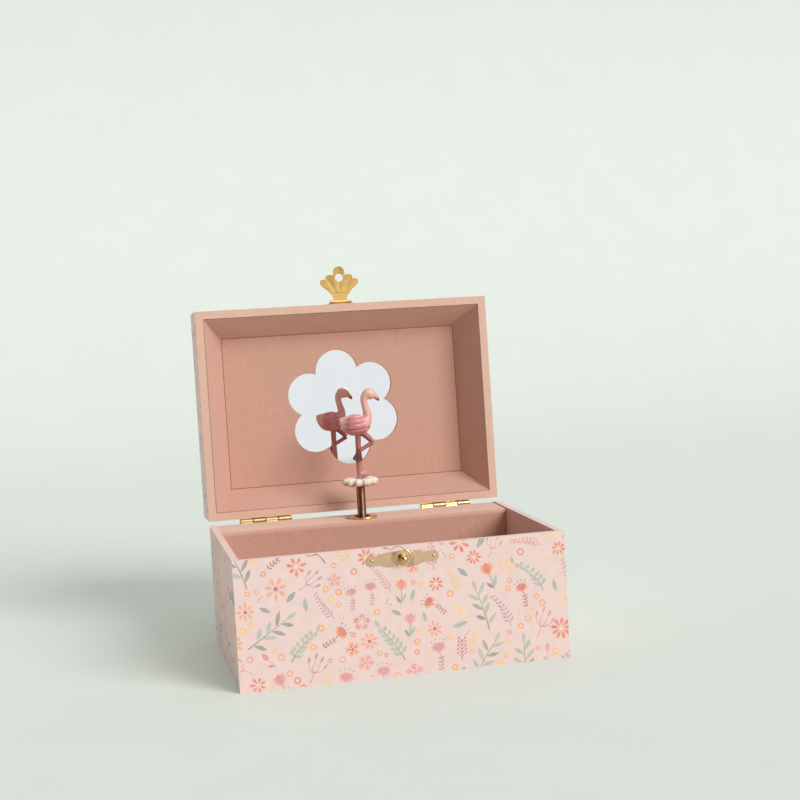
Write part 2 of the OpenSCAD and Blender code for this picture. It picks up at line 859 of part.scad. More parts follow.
// Wading bird on one leg, facing +X; heights are above the disc, for a bird 59 high
module flamingo() {
  color("#d99a94") translate([0, post_y, disc_top]) scale(bird_h / 56) {
    // Standing leg and its foot
    limb([[0, 0, 1.7, 1.7], [0, 0, 9.5, 1.8], [0.2, 0, 18, 1.6], [0.2, 0, 28.5, 1.9]]);
    limb([[0.6, 0, 1.5, 1.5], [3, 0.1, 1.9, 1.7], [5.2, 0.2, 1.3, 1.2]]);
    // Folded leg with its hanging foot
    limb([[3.4, -1, 28, 2], [9.2, -1.2, 22.2, 1.35], [0.6, -1.5, 17.5, 1.3]]);
    hull() {
      translate([-0.5, -1.9, 18.2]) sphere(1, $fn = 14);
      for (toe = [[-4.2, -2.2, 12.2], [-2, -2.2, 10.4], [1.2, -2.1, 11.2]]) {
        translate(toe) sphere(0.7, $fn = 14);
      }
    }
    // Body and tail
    hull() {
      translate([-0.6, 0, 33.5]) scale([8.6, 6, 6.9]) sphere(1, $fn = 28);
      translate([4.8, 0, 34.6]) sphere(4.4, $fn = 20);
      translate([-9.9, 0, 36]) sphere(1.3, $fn = 12);
    }
    // Neck, head and bent bill
    limb([[6.6, 0, 37, 3], [6.2, 0, 42.5, 2.2], [5.3, 0, 47, 2.1], [5.9, 0, 51, 2.3], [8.6, 0, 52.6, 3.4]]);
    limb([[9.6, 0, 52.3, 3], [11.8, 0, 51.4, 2], [13.4, 0, 49.6, 1.3], [14.3, 0, 48.1, 0.8]]);
  }
}

// ---- Movement ------------------------------------------------------------------------

// Cast plate that carries the movement, with a rest for the comb and a seat for the spring
module bedplate() {
  comb_x = cyl_x + cyl_l / 2;
  color(ZINC) difference() {
    union() {
      block([bed_left, bed_y, bed_low], [bed_right, in_y, bed_high]);
      block([bed_right - eps, bed_y, bed_low], [bed_ear, in_y, frame_low + frame_t]);
      block([cyl_x, comb_y + comb_t, comb_low_z], [cyl_x + cyl_l, bed_y + eps, comb_root_z - 1]);
      block([wire_x - 3, wire_y - 2, tab_z - 1.2], [wire_x + 3, in_y, tab_z]);
    }
    rod_y([0, bed_y - 1, works_z], arbor_r + run, bed_t + 2);
    for (x = [comb_x - 5, comb_x + 5]) {
      rod_y([x, comb_y, (comb_low_z + comb_root_z) / 2 - 0.5], screw_r, 6);
    }
    for (p = [[bed_left + 4, bed_low + 4], [bed_left + 4, bed_high - 4], [bed_right - 4, bed_high - 4]]) {
      rod_y([p[0], bed_y - 1, p[1]], screw_r, bed_t + 2);
    }
  }
}

// Spring barrel with a crown of teeth towards the front
module spring_barrel() {
  base = PI * gear_m / 4 - backlash;
  tip = base - add * tan(20);
  root = base + ded * tan(20);
  color(BRASS) translate([0, 0, works_z]) difference() {
    union() {
      rod_y([0, drum_y, 0], drum_r, drum_end - drum_y);
      rod_y([0, drum_end - eps, 0], 3, bed_y - drum_end - run + eps);
      for (k = [0 : crown_n - 1]) {
        rotate([0, -(k + 0.5) * 360 / crown_n, 0])
          translate([crown_r - crown_w, 0, 0])
            rotate([90, 0, 90])
              linear_extrude(2 * crown_w - 0.1)
                polygon([
                  [drum_y + eps, -root], [crown_y - add, -tip], [crown_y - add, tip], [drum_y + eps, root]
                ]);
      }
    }
    rod_y([0, drum_y - 5, 0], arbor_r + run, 20);
    rod_y([0, drum_y - 1, 0], crown_r - crown_w - 2, 1.6);
  }
}

module winding_arbor() {
  color(STEEL) {
    rod_y([0, drum_y, works_z], arbor_r, half_d + key_gap + key_hub_l / 2 - drum_y);
    rod_y([0, drum_y, works_z], arbor_r + 1, 0.6 - run);
  }
}

// Butterfly key on the arbor, behind the box
module winding_key() {
  hub_y = half_d + key_gap;
  wing_y = hub_y + key_hub_l + key_neck_l;
  color(BRASS) difference() {
    union() {
      rod_y([0, hub_y, works_z], key_hub_r, key_hub_l);
      translate([0, 0, works_z - key_t / 2]) linear_extrude(key_t) difference() {
        union() {
          for (s = [-1, 1]) {
            translate([s * key_wing_x, wing_y]) circle(key_wing_r);
          }
          translate([-key_neck_w / 2, wing_y + 1 - key_neck_w]) square(key_neck_w);
        }
        for (s = [-1, 1]) {
          translate([s * key_eye_x, wing_y]) circle(key_eye_r);
        }
      }
    }
    rod_y([0, hub_y - 1, works_z], arbor_r, key_hub_l / 2 + 1);
  }
}

// Cylinder with its tune pins, on an axle with the crown's pinion
module pinned_cylinder() {
  pin_r0 = 0.22;
  rows = 3;
  color(BRASS) translate([0, post_y, works_z]) {
    rod_x([cyl_x, 0, 0], cyl_r, cyl_l);
    rod_x([cyl_pinion_x - 0.6, 0, 0], axle_r, train_x + train_w - cyl_pinion_x + 0.6);
    translate([cyl_pinion_x, 0, 0]) rotate([90, 0, 90]) linear_extrude(pinion_w - 0.3) gear_outline(pinion_n);
    for (i = [0 : notes - 1], j = [0 : rows - 1]) {
      translate([cyl_x + comb_margin + (i + 0.5) * note_pitch, 0, 0])
        rotate([(i * 7 + j * 11 + i * j * 5) % 24 * 15 + 7.5, 0, 0])
          translate([0, 0, cyl_r - 0.4]) cylinder(r = pin_r0, h = pin_h + 0.4, $fn = 6);
    }
  }
}

module cylinder_gear() {
  color(BRASS) translate([train_x, post_y, works_z]) rotate([90, 0, 90])
    linear_extrude(train_w) difference() {
      gear_outline(train_n);
      circle(axle_r);
      for (k = [0 : 4]) {
        rotate(k * 72 + 36) translate([train_r * 0.55, 0]) circle(1.6);
      }
    }
}

// A bearing plate across the movement, with bores at the given heights
module bearing_plate(x, t, high, bores) {
  difference() {
    block([x, post_y - bearing_w / 2, works_z - 4], [x + t, bed_y, high]);
    for (z = bores) {
      rod_x([x - 1, post_y, z], axle_r + run, t + 2);
    }
  }
}

module cylinder_brackets() {
  color(ZINC) {
    bearing_plate(post_plate_x, bearing_t, works_z + 4, [works_z]);
    bearing_plate(right_plate_x, plate_t, idler_z + bearing_w / 2, [works_z, idler_z]);
  }
}

// Steel comb: one tooth for each note, standing up to the cylinder's underside
module comb() {
  slit = note_pitch * 0.25;
  comb_x = cyl_x + cyl_l / 2;
  color(STEEL) difference() {
    block([cyl_x, comb_y, comb_low_z], [cyl_x + cyl_l, comb_y + comb_t, comb_tip_z]);
    for (i = [0 : notes]) {
      x = cyl_x + comb_margin + i * note_pitch;
      block([x - slit / 2, comb_y - 1, comb_root_z + i * 0.25],
            [x + slit / 2, comb_y + comb_t + 1, comb_tip_z + 1]);
    }
    block([cyl_x - 1, comb_y - 1, comb_root_z - 1],
          [cyl_x + comb_margin, comb_y + comb_t + 1, comb_tip_z + 1]);
    block([cyl_x + cyl_l - comb_margin, comb_y - 1, comb_root_z + 6],
          [cyl_x + cyl_l + 1, comb_y + comb_t + 1, comb_tip_z + 1]);
    for (x = [comb_x - 5, comb_x + 5]) {
      rod_y([x, comb_y - 1, (comb_low_z + comb_root_z) / 2 - 0.5], screw_r, comb_t + 2);
    }
  }
}

// Frame of the governor: shelf, post, top arm and the wheel's bearing
module governor_frame() {
  left = wheel_x - 0.2;
  front = post_y - bearing_w / 2;
  arm_y = worm_y - arm_w / 2;
  color(ZINC) difference() {
    union() {
      block([left, front, frame_low], [bed_ear, bed_y, frame_low + frame_t]);
      block([frame_post_x, arm_y, frame_low], [frame_post_x + frame_t, bed_y, frame_high + frame_t]);
      block([worm_x - arm_end, arm_y, frame_high],
            [frame_post_x + frame_t, arm_y + arm_w, frame_high + frame_t]);
      block([idler_plate_x, front, frame_low],
            [idler_plate_x + plate_t, front + bearing_w, idler_z + bearing_w / 2]);
    }
    rod_x([idler_plate_x - 1, post_y, idler_z], axle_r + run, plate_t + 2);
    rod_z([worm_x, worm_y, frame_low - 1], worm_axle_r + run, frame_t + 2);
    rod_z([worm_x, worm_y, frame_high - 1], worm_axle_r + run, frame_t + 2);
  }
}

// Governor wheel with its pinion on one axle; the wheel's teeth lean to suit the worm
module governor_wheel() {
  lean = 180 * wheel_w * tan(wheel_helix) / (PI * wheel_r);
  end = idler_plate_x + plate_t;
  color(BRASS) translate([0, post_y, idler_z]) {
    rod_x([right_plate_x, 0, 0], axle_r, end - right_plate_x);
    translate([train_x, 0, 0]) rotate([90, 0, 90]) rotate(180 / idler_n)
      linear_extrude(train_w) gear_outline(idler_n);
    translate([wheel_x, 0, 0]) rotate([90, 0, 90]) rotate(-lean / 2)
      linear_extrude(wheel_w, twist = -lean, slices = 4) gear_outline(wheel_n);
  }
}

// Worm, air fan and brake disc on one upright shaft
module governor_fan() {
  turns = worm_l / worm_lead;
  low = frame_low;
  color(STEEL) translate([worm_x, worm_y, 0]) {
    rod_z([0, 0, low], worm_axle_r, disc2_z - low);
    translate([0, 0, idler_z - worm_l / 2]) {
      cylinder(r = worm_r - 0.55, h = worm_l);
      linear_extrude(worm_l, twist = -360 * turns, slices = 14) {
        for (k = [0 : worm_n - 1]) {
          rotate(k * 360 / worm_n) translate([0, -0.28]) square([worm_r + 0.2, 0.56]);
        }
      }
    }
    translate([0, 0, fan_z]) cylinder(r = 1.2, h = fan_h);
    for (a = [0, 90]) {
      rotate(a) translate([-fan_r, -0.2, fan_z + 0.5]) cube([2 * fan_r, 0.4, fan_h - 1]);
    }
    translate([0, 0, disc2_z]) cylinder(r = 2.4, h = 0.6);
  }
}

module spindle() {
  color(STEEL) {
    rod_z([0, post_y, spindle_low], spindle_r, spindle_top - spindle_low);
    rod_z([0, post_y, spindle_top], spring_r - spring_wire - run, stub_l);
  }
}

module spindle_pinion() {
  color(BRASS) translate([0, post_y, spindle_pinion_z - pinion_w / 2]) linear_extrude(pinion_w) difference() {
    gear_outline(pinion_n);
    circle(spindle_r);
  }
}

// Bracket with an upper and a lower bearing for the spindle
module spindle_bracket() {
  front = post_y - pinion_r - 2.2;
  low = spindle_low;
  high = works_z + drum_r + 1;
  color(ZINC) difference() {
    union() {
      block([-5, front, high], [5, bed_y, high + bearing_t]);
      block([-5, front, low], [5, front + plate_t, high + bearing_t]);
      block([-5, front, low], [5, crown_y - add - 0.3, low + bearing_t]);
    }
    rod_z([0, post_y, low - 1], spindle_r + run, high - low + bearing_t + 2);
  }
}

// Bent wire that the closing lid presses; its foot stops the fan
module stop_wire() {
  reach = [worm_x, worm_y];
  from = [wire_x, wire_y];
  span = norm(reach - from);
  turn = atan2(reach[1] - from[1], reach[0] - from[0]);
  bend_r = wire_r + 0.08;
  color(STEEL) {
    rod_z([wire_x, wire_y, run_z], wire_r, wire_top - run_z);
    translate([wire_x, wire_y, run_z]) sphere(bend_r);
    translate([wire_x, wire_y, run_z]) rotate(turn) rotate([0, 90, 0]) cylinder(r = wire_r, h = span);
    translate([worm_x, worm_y, run_z]) sphere(bend_r);
    rod_z([worm_x, worm_y, foot_z], wire_r, run_z - foot_z);
  }
}

module stop_spring() {
  color(STEEL) translate([wire_x, wire_y, tab_z])
    coil(stop_spring_r, stop_spring_wire, 5, run_z - wire_r - tab_z);
}

// Screws of the comb and of the bedplate
module movement_screws() {
  comb_x = cyl_x + cyl_l / 2;
  color(STEEL) {
    for (x = [comb_x - 5, comb_x + 5]) {
      rod_y([x, comb_y - screw_head_t, (comb_low_z + comb_root_z) / 2 - 0.5], screw_head_r, screw_head_t);
      rod_y([x, comb_y - screw_head_t, (comb_low_z + comb_root_z) / 2 - 0.5], screw_r, 6);
    }
    for (p = [[bed_left + 4, bed_low + 4], [bed_left + 4, bed_high - 4], [bed_right - 4, bed_high - 4]]) {
      rod_y([p[0], bed_y - screw_head_t, p[1]], screw_head_r, screw_head_t);
      rod_y([p[0], bed_y - screw_head_t, p[1]], screw_r, bed_t + screw_head_t);
    }
  }
}

bottom_paper();
base_floor();
base_front_board();
base_rear_board();
base_left_board();
base_right_board();
base_paper_wrap();
tray_liner();
divider_board();
ledge_cover();
lid_top_board();
lid_front_board();
lid_rear_board();
lid_left_board();
lid_right_board();
lid_paper_wrap();
lid_rim_trim();
slope_front();
slope_rear();
slope_left();
slope_right();
lid_panel();
mirror_glass();
mirror_backing();
left_hinge_base_leaf();
left_hinge_lid_leaf();
left_hinge_pin();
right_hinge_base_leaf();
right_hinge_lid_leaf();
right_hinge_pin();
base_nails();
lid_nails();
hasp_plate();
hasp_flap();
hasp_pin();
keeper_plate();
keeper_knob();
brass_ring();
post_spring();
spring_plug();
post_tube();
scalloped_disc();
flamingo();
bedplate();
spring_barrel();
winding_arbor();
winding_key();
pinned_cylinder();
cylinder_gear();
cylinder_brackets();
comb();
governor_frame();
governor_wheel();
governor_fan();
spindle();
spindle_pinion();
spindle_bracket();
stop_wire();
stop_spring();
movement_screws();
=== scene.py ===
"""Looks of the musical jewellery box: printed paper, flocked lining, brass fittings, mirror and bird.

Lengths in the making functions are millimetres in the CAD frame; MM turns them into Blender's metres.
"""

import json
import math
import random

import bmesh
import bpy
from mathutils import Matrix, Vector
from mathutils.geometry import delaunay_2d_cdt


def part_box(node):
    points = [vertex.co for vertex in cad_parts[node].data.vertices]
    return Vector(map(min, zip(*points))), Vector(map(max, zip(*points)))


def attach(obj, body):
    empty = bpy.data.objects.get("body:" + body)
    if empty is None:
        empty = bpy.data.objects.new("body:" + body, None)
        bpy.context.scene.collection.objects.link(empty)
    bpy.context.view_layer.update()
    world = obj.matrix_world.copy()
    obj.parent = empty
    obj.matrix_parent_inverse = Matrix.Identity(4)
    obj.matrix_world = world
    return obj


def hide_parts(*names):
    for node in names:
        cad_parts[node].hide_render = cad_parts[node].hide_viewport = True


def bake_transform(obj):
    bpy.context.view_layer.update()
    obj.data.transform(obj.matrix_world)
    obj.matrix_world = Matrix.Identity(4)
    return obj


MM = 0.001
SEED = 20

# Camera, solved from the box's corners in the photograph
CAMERA_AT = (-170.0, -863.5, 217.5)
CAMERA_YAW = 12.27
CAMERA_PITCH = 4.39
CAMERA_ROLL = -3.1
CAMERA_LENS = 66.5

# Colours as they look on a screen, red green blue from 0 to 255
PAPER_GROUND = (231, 204, 197)
PRINT_COLOURS = {
    "coral": (229, 131, 111),
    "peach": (241, 168, 132),
    "apricot": (244, 192, 140),
    "ochre": (236, 196, 132),
    "butter": (240, 214, 156),
    "rose": (222, 150, 150),
    "blush": (232, 172, 166),
    "mauve": (190, 146, 152),
    "sage": (180, 188, 172),
    "grey_green": (148, 154, 140),
    "wine": (176, 104, 104),
}
FLOCK = (205, 159, 140)
RIM_FLOCK = (221, 181, 161)
# Painted shade for the crease along the foot of the lid's slopes on the panel
CREASE_SHADE_COLOUR = (150, 104, 88)

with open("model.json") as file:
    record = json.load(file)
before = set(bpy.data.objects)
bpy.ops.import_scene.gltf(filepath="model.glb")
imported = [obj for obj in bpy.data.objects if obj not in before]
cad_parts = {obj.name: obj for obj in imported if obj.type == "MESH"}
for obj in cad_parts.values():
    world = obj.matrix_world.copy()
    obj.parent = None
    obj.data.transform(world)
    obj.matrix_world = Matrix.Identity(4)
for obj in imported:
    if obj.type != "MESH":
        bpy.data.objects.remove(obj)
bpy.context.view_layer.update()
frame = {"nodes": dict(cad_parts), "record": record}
NODES = frame["nodes"]


# ---- Materials ----


def linear(colour):
    """A screen colour as Blender's linear colour with alpha."""

    def channel(value):
        share = value / 255
        return share / 12.92 if share <= 0.04045 else ((share + 0.055) / 1.055) ** 2.4

    return (*[channel(value) for value in colour], 1.0)


class Graph:
    """A node tree and short calls that add nodes to it; a value is an output, a number or a colour."""

    def __init__(self, owner):
        owner.use_nodes = True
        self.nodes = owner.node_tree.nodes
        self.links = owner.node_tree.links

    def feed(self, value, socket):
        if isinstance(value, bpy.types.NodeSocket):
            self.links.new(value, socket)
        else:
            socket.default_value = value

    def axes(self, vector):
        """A vector's x, y and z."""
        node = self.nodes.new("ShaderNodeSeparateXYZ")
        self.links.new(vector, node.inputs["Vector"])
        return [node.outputs[axis] for axis in "XYZ"]

    def range(self, value, low, high, from_low=0.0, from_high=1.0):
        node = self.nodes.new("ShaderNodeMapRange")
        ends = {"From Min": from_low, "From Max": from_high, "To Min": low, "To Max": high}
        for socket, number in ends.items():
            node.inputs[socket].default_value = number
        self.links.new(value, node.inputs["Value"])
        return node.outputs["Result"]

    def maths(self, operation, a, b=0.0):
        node = self.nodes.new("ShaderNodeMath")
        node.operation = operation
        self.feed(a, node.inputs[0])
        self.feed(b, node.inputs[1])
        return node.outputs["Value"]

    def mix(self, share, first, second):
        """A colour between two."""
        node = self.nodes.new("ShaderNodeMixRGB")
        for value, socket in zip((share, first, second), node.inputs):
            self.feed(value, socket)
        return node.outputs["Color"]

    def off(self, value, middle):
        """How far a value lies from a middle given in millimetres."""
        return self.maths("ABSOLUTE", self.maths("SUBTRACT", value, middle * MM))

    def squares(self, a, b, middle):
        """The squared distance of (a, b) from a middle given in millimetres."""
        sides = (self.off(a, middle[0]), self.off(b, middle[1]))
        return self.maths("ADD", *[self.maths("MULTIPLY", side, side) for side in sides])


class Shader(Graph):
    """A Principled material and short calls that give it its looks."""

    def __init__(self, name, roughness, metallic=0.0):
        self.material = bpy.data.materials.new(name)
        super().__init__(self.material)
        self.surface = self.nodes["Principled BSDF"]
        self.set("Roughness", roughness)
        self.set("Metallic", metallic)
        self.place = self.nodes.new("ShaderNodeTexCoord").outputs["Object"]

    def set(self, socket, value):
        self.feed(value, self.surface.inputs[socket])

    def stretched(self, scale):
        """The place in the object, scaled on each axis."""
        node = self.nodes.new("ShaderNodeMapping")
        node.inputs["Scale"].default_value = scale
        self.links.new(self.place, node.inputs["Vector"])
        return node.outputs["Vector"]

    def noise(self, size, detail=3.0, stretch=None):
        """Noise whose grains are about size millimetres across."""
        node = self.nodes.new("ShaderNodeTexNoise")
        node.inputs["Scale"].default_value = 1 / (size * MM)
        node.inputs["Detail"].default_value = detail
        self.links.new(self.stretched(stretch) if stretch else self.place, node.inputs["Vector"])
        return node.outputs["Fac"]

    def colour_by(self, value, *stops):
        """A base colour that follows a value; stops are (position, linear colour)."""
        node = self.nodes.new("ShaderNodeValToRGB")
        elements = node.color_ramp.elements
        while len(elements) < len(stops):
            elements.new(0.5)
        for element, (position, colour) in zip(elements, stops):
            element.position = position
            element.color = colour
        self.links.new(value, node.inputs["Fac"])
        self.set("Base Color", node.outputs["Color"])

    def bump(self, height, strength, depth):
        """Bump with the given depth in millimetres; later calls stack on earlier ones."""
        node = self.nodes.new("ShaderNodeBump")
        node.inputs["Strength"].default_value = strength
        node.inputs["Distance"].default_value = depth * MM
        self.links.new(height, node.inputs["Height"])
        before = self.surface.inputs["Normal"].links
        if before:
            self.links.new(before[0].from_socket, node.inputs["Normal"])
        self.set("Normal", node.outputs["Normal"])


def shade(colour, factor):
    """A linear colour made darker or lighter."""
    return (*[min(1.0, channel * factor) for channel in colour[:3]], 1.0)


def mixed(a, b, share):
    return (*[x + (y - x) * share for x, y in zip(a[:3], b[:3])], 1.0)


def paper_material(name, colour, wash=0.0):
    """Matt printed paper; wash lets the ground show through the ink as in a watercolour."""
    shader = Shader(name, 0.62)
    ground = linear(PAPER_GROUND)
    ink = linear(colour)
    washed = shade(mixed(ink, ground, wash), 1.03)
    shader.colour_by(shader.noise(5.5, 4.0), (0.3, washed), (0.7, shade(ink, 0.97)))
    shader.set("Specular IOR Level", 0.35)
    shader.set("Roughness", shader.range(shader.noise(0.9), 0.54, 0.7))
    shader.bump(shader.noise(0.35, 2.0), 0.12, 0.05)
    shader.bump(shader.noise(9.0, 2.0), 0.25, 0.06)
    return shader.material


def flock_material(name, colour):
    """Short dense flocking: a fine nap, a soft sheen and a faint mottle."""
    shader = Shader(name, 0.95)
    pile = linear(colour)
    shader.colour_by(shader.noise(2.4, 4.0), (0.3, shade(pile, 0.955)), (0.7, shade(pile, 1.035)))
    shader.set("Specular IOR Level", 0.12)
    shader.set("Sheen Weight", 0.9)
    shader.set("Sheen Roughness", 0.5)
    shader.set("Sheen Tint", linear((250, 222, 208)))
    shader.bump(shader.noise(0.28, 2.0), 0.5, 0.09)
    shader.bump(shader.noise(1.8, 3.0), 0.3, 0.12)
    return shader.material


def board_material():
    """Grey board with drawn-out fibres."""
    shader = Shader("grey_board", 0.9)
    base = linear((186, 164, 134))
    fibres = shader.noise(1.4, 5.0, stretch=(1, 1, 3.5))
    shader.colour_by(fibres, (0.25, shade(base, 0.78)), (0.75, shade(base, 1.12)))
    shader.bump(fibres, 0.4, 0.1)
    return shader.material


def metal_material(name, colour, roughness, grain=0.4, stretch=None, lacquer=0.0):
    """Metal with fine tool marks, a patchy polish and slightly darker spots."""
    shader = Shader(name, roughness, metallic=1.0)
    shader.set("Coat Weight", lacquer)
    shader.set("Coat Roughness", 0.15)
    metal = linear(colour)
    shader.colour_by(shader.noise(4.0, 4.0), (0.3, shade(metal, 0.88)), (0.65, metal))
    shader.set("Roughness", shader.range(shader.noise(1.2, 4.0), roughness * 0.7, roughness * 1.35))
    shader.bump(shader.noise(grain, 3.0, stretch), 0.12, 0.03)
    return shader.material


def turned_material(name, colour):
    """Metal turned on a lathe about an upright axis, which draws highlights out along it."""
    shader = Shader(name, 0.4, metallic=1.0)
    metal = linear(colour)
    bands = shader.noise(1.6, 3.0, (1, 1, 4))
    shader.colour_by(bands, (0.3, shade(metal, 0.9)), (0.7, metal))
    shader.set("Roughness", shader.range(bands, 0.36, 0.42))
    shader.set("Anisotropic", 1.0)
    shader.set("Anisotropic Rotation", 0.25)
    tangent = shader.nodes.new("ShaderNodeTangent")
    tangent.direction_type = "RADIAL"
    tangent.axis = "Z"
    shader.set("Tangent", tangent.outputs["Tangent"])
    return shader.material


def keeper_material(middle, rings):
    """Satin brass with shallow pressed rings round the knob."""
    shader = Shader("satin_brass_pressed", 0.42, metallic=0.85)
    metal = linear((207, 175, 140))
    shader.colour_by(shader.noise(3.0, 4.0), (0.3, shade(metal, 0.93)), (0.7, shade(metal, 1.03)))
    x, _, z = shader.axes(shader.place)
    distance = shader.maths("SQRT", shader.squares(x, z, middle))
    for radius, width in rings:
        shader.bump(shader.range(shader.off(distance, radius), 1.0, 0.0, 0.0, width * MM), 0.9, 0.25)
    shader.bump(shader.noise(0.3, 2.0), 0.2, 0.02)
    return shader.material


def hinge_material(axis, barrel, first_gap, pitch):
    """Polished brass with painted shade in the gaps between the knuckles on the hinge's barrel; axis is its
    y and z.
    """
    shader = Shader("polished_brass_hinge", 0.22, metallic=1.0)
    metal = linear((226, 202, 142))
    x, y, z = shader.axes(shader.place)
    on_barrel = shader.maths("LESS_THAN", shader.squares(y, z, axis), (barrel * MM) ** 2)
    along = shader.maths("SUBTRACT", shader.off(x, 0.0), first_gap * MM)
    off_gap = shader.maths("PINGPONG", along, pitch / 2 * MM)
    # Painted shade: the brass turns nearly black in a narrow band at each gap between knuckles
    painted_gap_shade = shader.maths("MULTIPLY", shader.range(off_gap, 1.0, 0.0, 0.15 * MM, 0.45 * MM), on_barrel)
    patches = shader.range(shader.noise(3.0, 4.0), 0.0, 0.15, 0.7, 0.3)
    shader.colour_by(shader.maths("ADD", patches, painted_gap_shade), (0.0, metal), (1.0, shade(metal, 0.12)))
    shader.bump(shader.noise(0.4, 3.0), 0.12, 0.03)
    return shader.material


def flap_material(axis_z, crease, flutes):
    """Polished brass pressed with flutes that fan out from the flap's hinge and a groove across its neck,
    over random patches; shade is painted into the groove and darkens the flap towards the top.
    """
    shader = Shader("polished_brass_fluted", 0.26, metallic=1.0)
    metal = linear((236, 190, 114))
    x, _, z = shader.axes(shader.place)
    up = shader.maths("SUBTRACT", z, axis_z * MM)
    groove = shader.range(shader.off(up, crease), 1.0, 0.0, 0.1 * MM, 0.5 * MM)
    patches = shader.range(shader.noise(3.0, 4.0), 0.0, 0.3, 0.7, 0.3)
    # Painted shade: the brass darkens towards the top of the flap and in the groove across its neck
    patches_and_top_shade = shader.maths("ADD", patches, shader.range(up, 0.0, 0.45, crease * MM, (crease + 12) * MM))
    patches_and_painted_shade = shader.maths("ADD", patches_and_top_shade, shader.maths("MULTIPLY", groove, 0.5))
    shader.colour_by(patches_and_painted_shade, (0.0, metal), (1.0, shade(metal, 0.45)))
    angle = shader.maths("ARCTAN2", x, up)
    wave = shader.maths("ABSOLUTE", shader.maths("SINE", shader.maths("MULTIPLY", angle, flutes)))
    past_crease = shader.range(up, 0.0, 1.0, crease * MM, (crease + 4) * MM)
    shader.bump(shader.maths("MULTIPLY", wave, past_crease), 0.35, 0.2)
    shader.bump(shader.range(groove, 1.0, 0.0), 0.15, 0.05)
    shader.bump(shader.noise(1.2, 3.0), 0.3, 0.08)
    return shader.material


def mirror_material():
    """Silvered glass with a faint haze."""
    shader = Shader("silvered_glass", 0.02, metallic=1.0)
    silver = linear((236, 239, 241))
    haze = shader.noise(30.0, 2.0)
    shader.colour_by(haze, (0.3, shade(silver, 0.985)), (0.7, silver))
    shader.set("Roughness", shader.range(haze, 0.01, 0.035))
    return shader.material


def resin_material(name, stops, low, high, roughness=0.34, sheen_size=2.2, streaks=False):
    """Painted resin whose colour changes between two heights over the disc's top."""
    shader = Shader(name, roughness)
    z = shader.axes(shader.place)[2]
    height = shader.range(z, 0.0, 1.0, (DISC_TOP + low) * MM, (DISC_TOP + high) * MM)
    wobble = shader.range(shader.noise(sheen_size, 4.0), -0.12, 0.12)
    colours = [(position, linear(colour)) for position, *colour in stops]
    shader.colour_by(shader.maths("ADD", height, wobble), *colours)
    shader.set("Coat Weight", 0.25)
    shader.set("Coat Roughness", 0.3)
    shader.set("Subsurface Weight", 0.08)
    shader.set("Subsurface Radius", (0.004, 0.002, 0.0015))
    shader.set("Roughness", shader.range(shader.noise(1.0), roughness * 0.8, roughness * 1.3))
    shader.bump(shader.noise(1.5, 3.0), 0.2, 0.08)
    if streaks:
        shader.bump(shader.noise(0.9, 2.0, stretch=(0.16, 1, 1)), 0.5, 0.3)
    return shader.material


# Places of the fittings in the CAD frame, which their materials follow
KEEPER_MIDDLE = (0, 66.5)
KEEPER_RINGS = ((4.9, 0.5), (6.2, 0.5))
FLAP_AXIS_Z = 209.7
FLAP_CREASE_UP = 5.8
FLAP_FLUTES = 7.0
HINGE_AXIS = (68.4, 73.75)
HINGE_BARREL = 2.1
HINGE_INNER_END = 42.75
KNUCKLE_WIDTH = 8.125
MATERIALS = {
    "board": board_material(),
    "plain_paper": paper_material("plain_paper", PAPER_GROUND),
    "flock": flock_material("salmon_flock", FLOCK),
    "mirror_glass": mirror_material(),
    "polished_brass": metal_material("polished_brass", (222, 183, 112), 0.2, lacquer=0.3),
    "satin_brass": keeper_material(KEEPER_MIDDLE, KEEPER_RINGS),
    "works_brass": metal_material("works_brass", (212, 172, 104), 0.34, stretch=(1, 6, 1)),
    "steel": metal_material("drawn_steel", (188, 190, 192), 0.28, stretch=(1, 1, 8)),
    "cast_zinc": metal_material("cast_zinc", (160, 162, 164), 0.5, grain=0.8),
    # The chrome's colour is a dark reddish brown, which paints in the salmon flock that the tube reflects
    "chrome": turned_material("turned_chrome_with_painted_reflection", (152, 114, 98)),
}
PALE_BRASS = metal_material("pale_brass", (206, 177, 124), 0.2)
GROUND_MATERIAL = paper_material("paper_ground", PAPER_GROUND)
INKS = {name: paper_material("ink_" + name, colour, 0.3) for name, colour in PRINT_COLOURS.items()}


def give(piece, material):
    """One finish for the whole of an object."""
    piece.data.materials.clear()
    piece.data.materials.append(material)


def finish_nodes():
    for subpart in frame["record"]["subparts"]:
        slot = subpart["material_slot"]
        if slot in MATERIALS:
            give(NODES[subpart["node"]], MATERIALS[slot])
    give(NODES["lid_rim_trim"], flock_material("rim_flock", RIM_FLOCK))
    for node in ("base_nails", "keeper_knob", "hasp_plate"):
        give(NODES[node], PALE_BRASS)
    give(NODES["hasp_flap"], flap_material(FLAP_AXIS_Z, FLAP_CREASE_UP, FLAP_FLUTES))
    hinge_brass = hinge_material(HINGE_AXIS, HINGE_BARREL, HINGE_INNER_END, KNUCKLE_WIDTH)
    for side in ("left", "right"):
        for leaf in ("base", "lid"):
            give(NODES[f"{side}_hinge_{leaf}_leaf"], hinge_brass)


# ---- Mesh helpers ----


def added(name, data):
    """A new object in the scene."""
    thing = bpy.data.objects.new(name, data)
    bpy.context.scene.collection.objects.link(thing)
    return thing


def piece_from(name, points, faces, materials, smooth=True):
    """A new object from points in millimetres."""
    mesh = bpy.data.meshes.new(name)
    mesh.from_pydata([Vector(point) * MM for point in points], [], faces, shade_flat=not smooth)
    for material in materials:
        mesh.materials.append(material)
    return added(name, mesh)


def catmull_rom(p, q, r, s, t):
    """The value at share t of the way from q to r."""
    bend, twist = 2 * p - 5 * q + 4 * r - s, 3 * q - p - 3 * r + s
    return 0.5 * (2 * q + (r - p) * t + bend * t * t + twist * t**3)


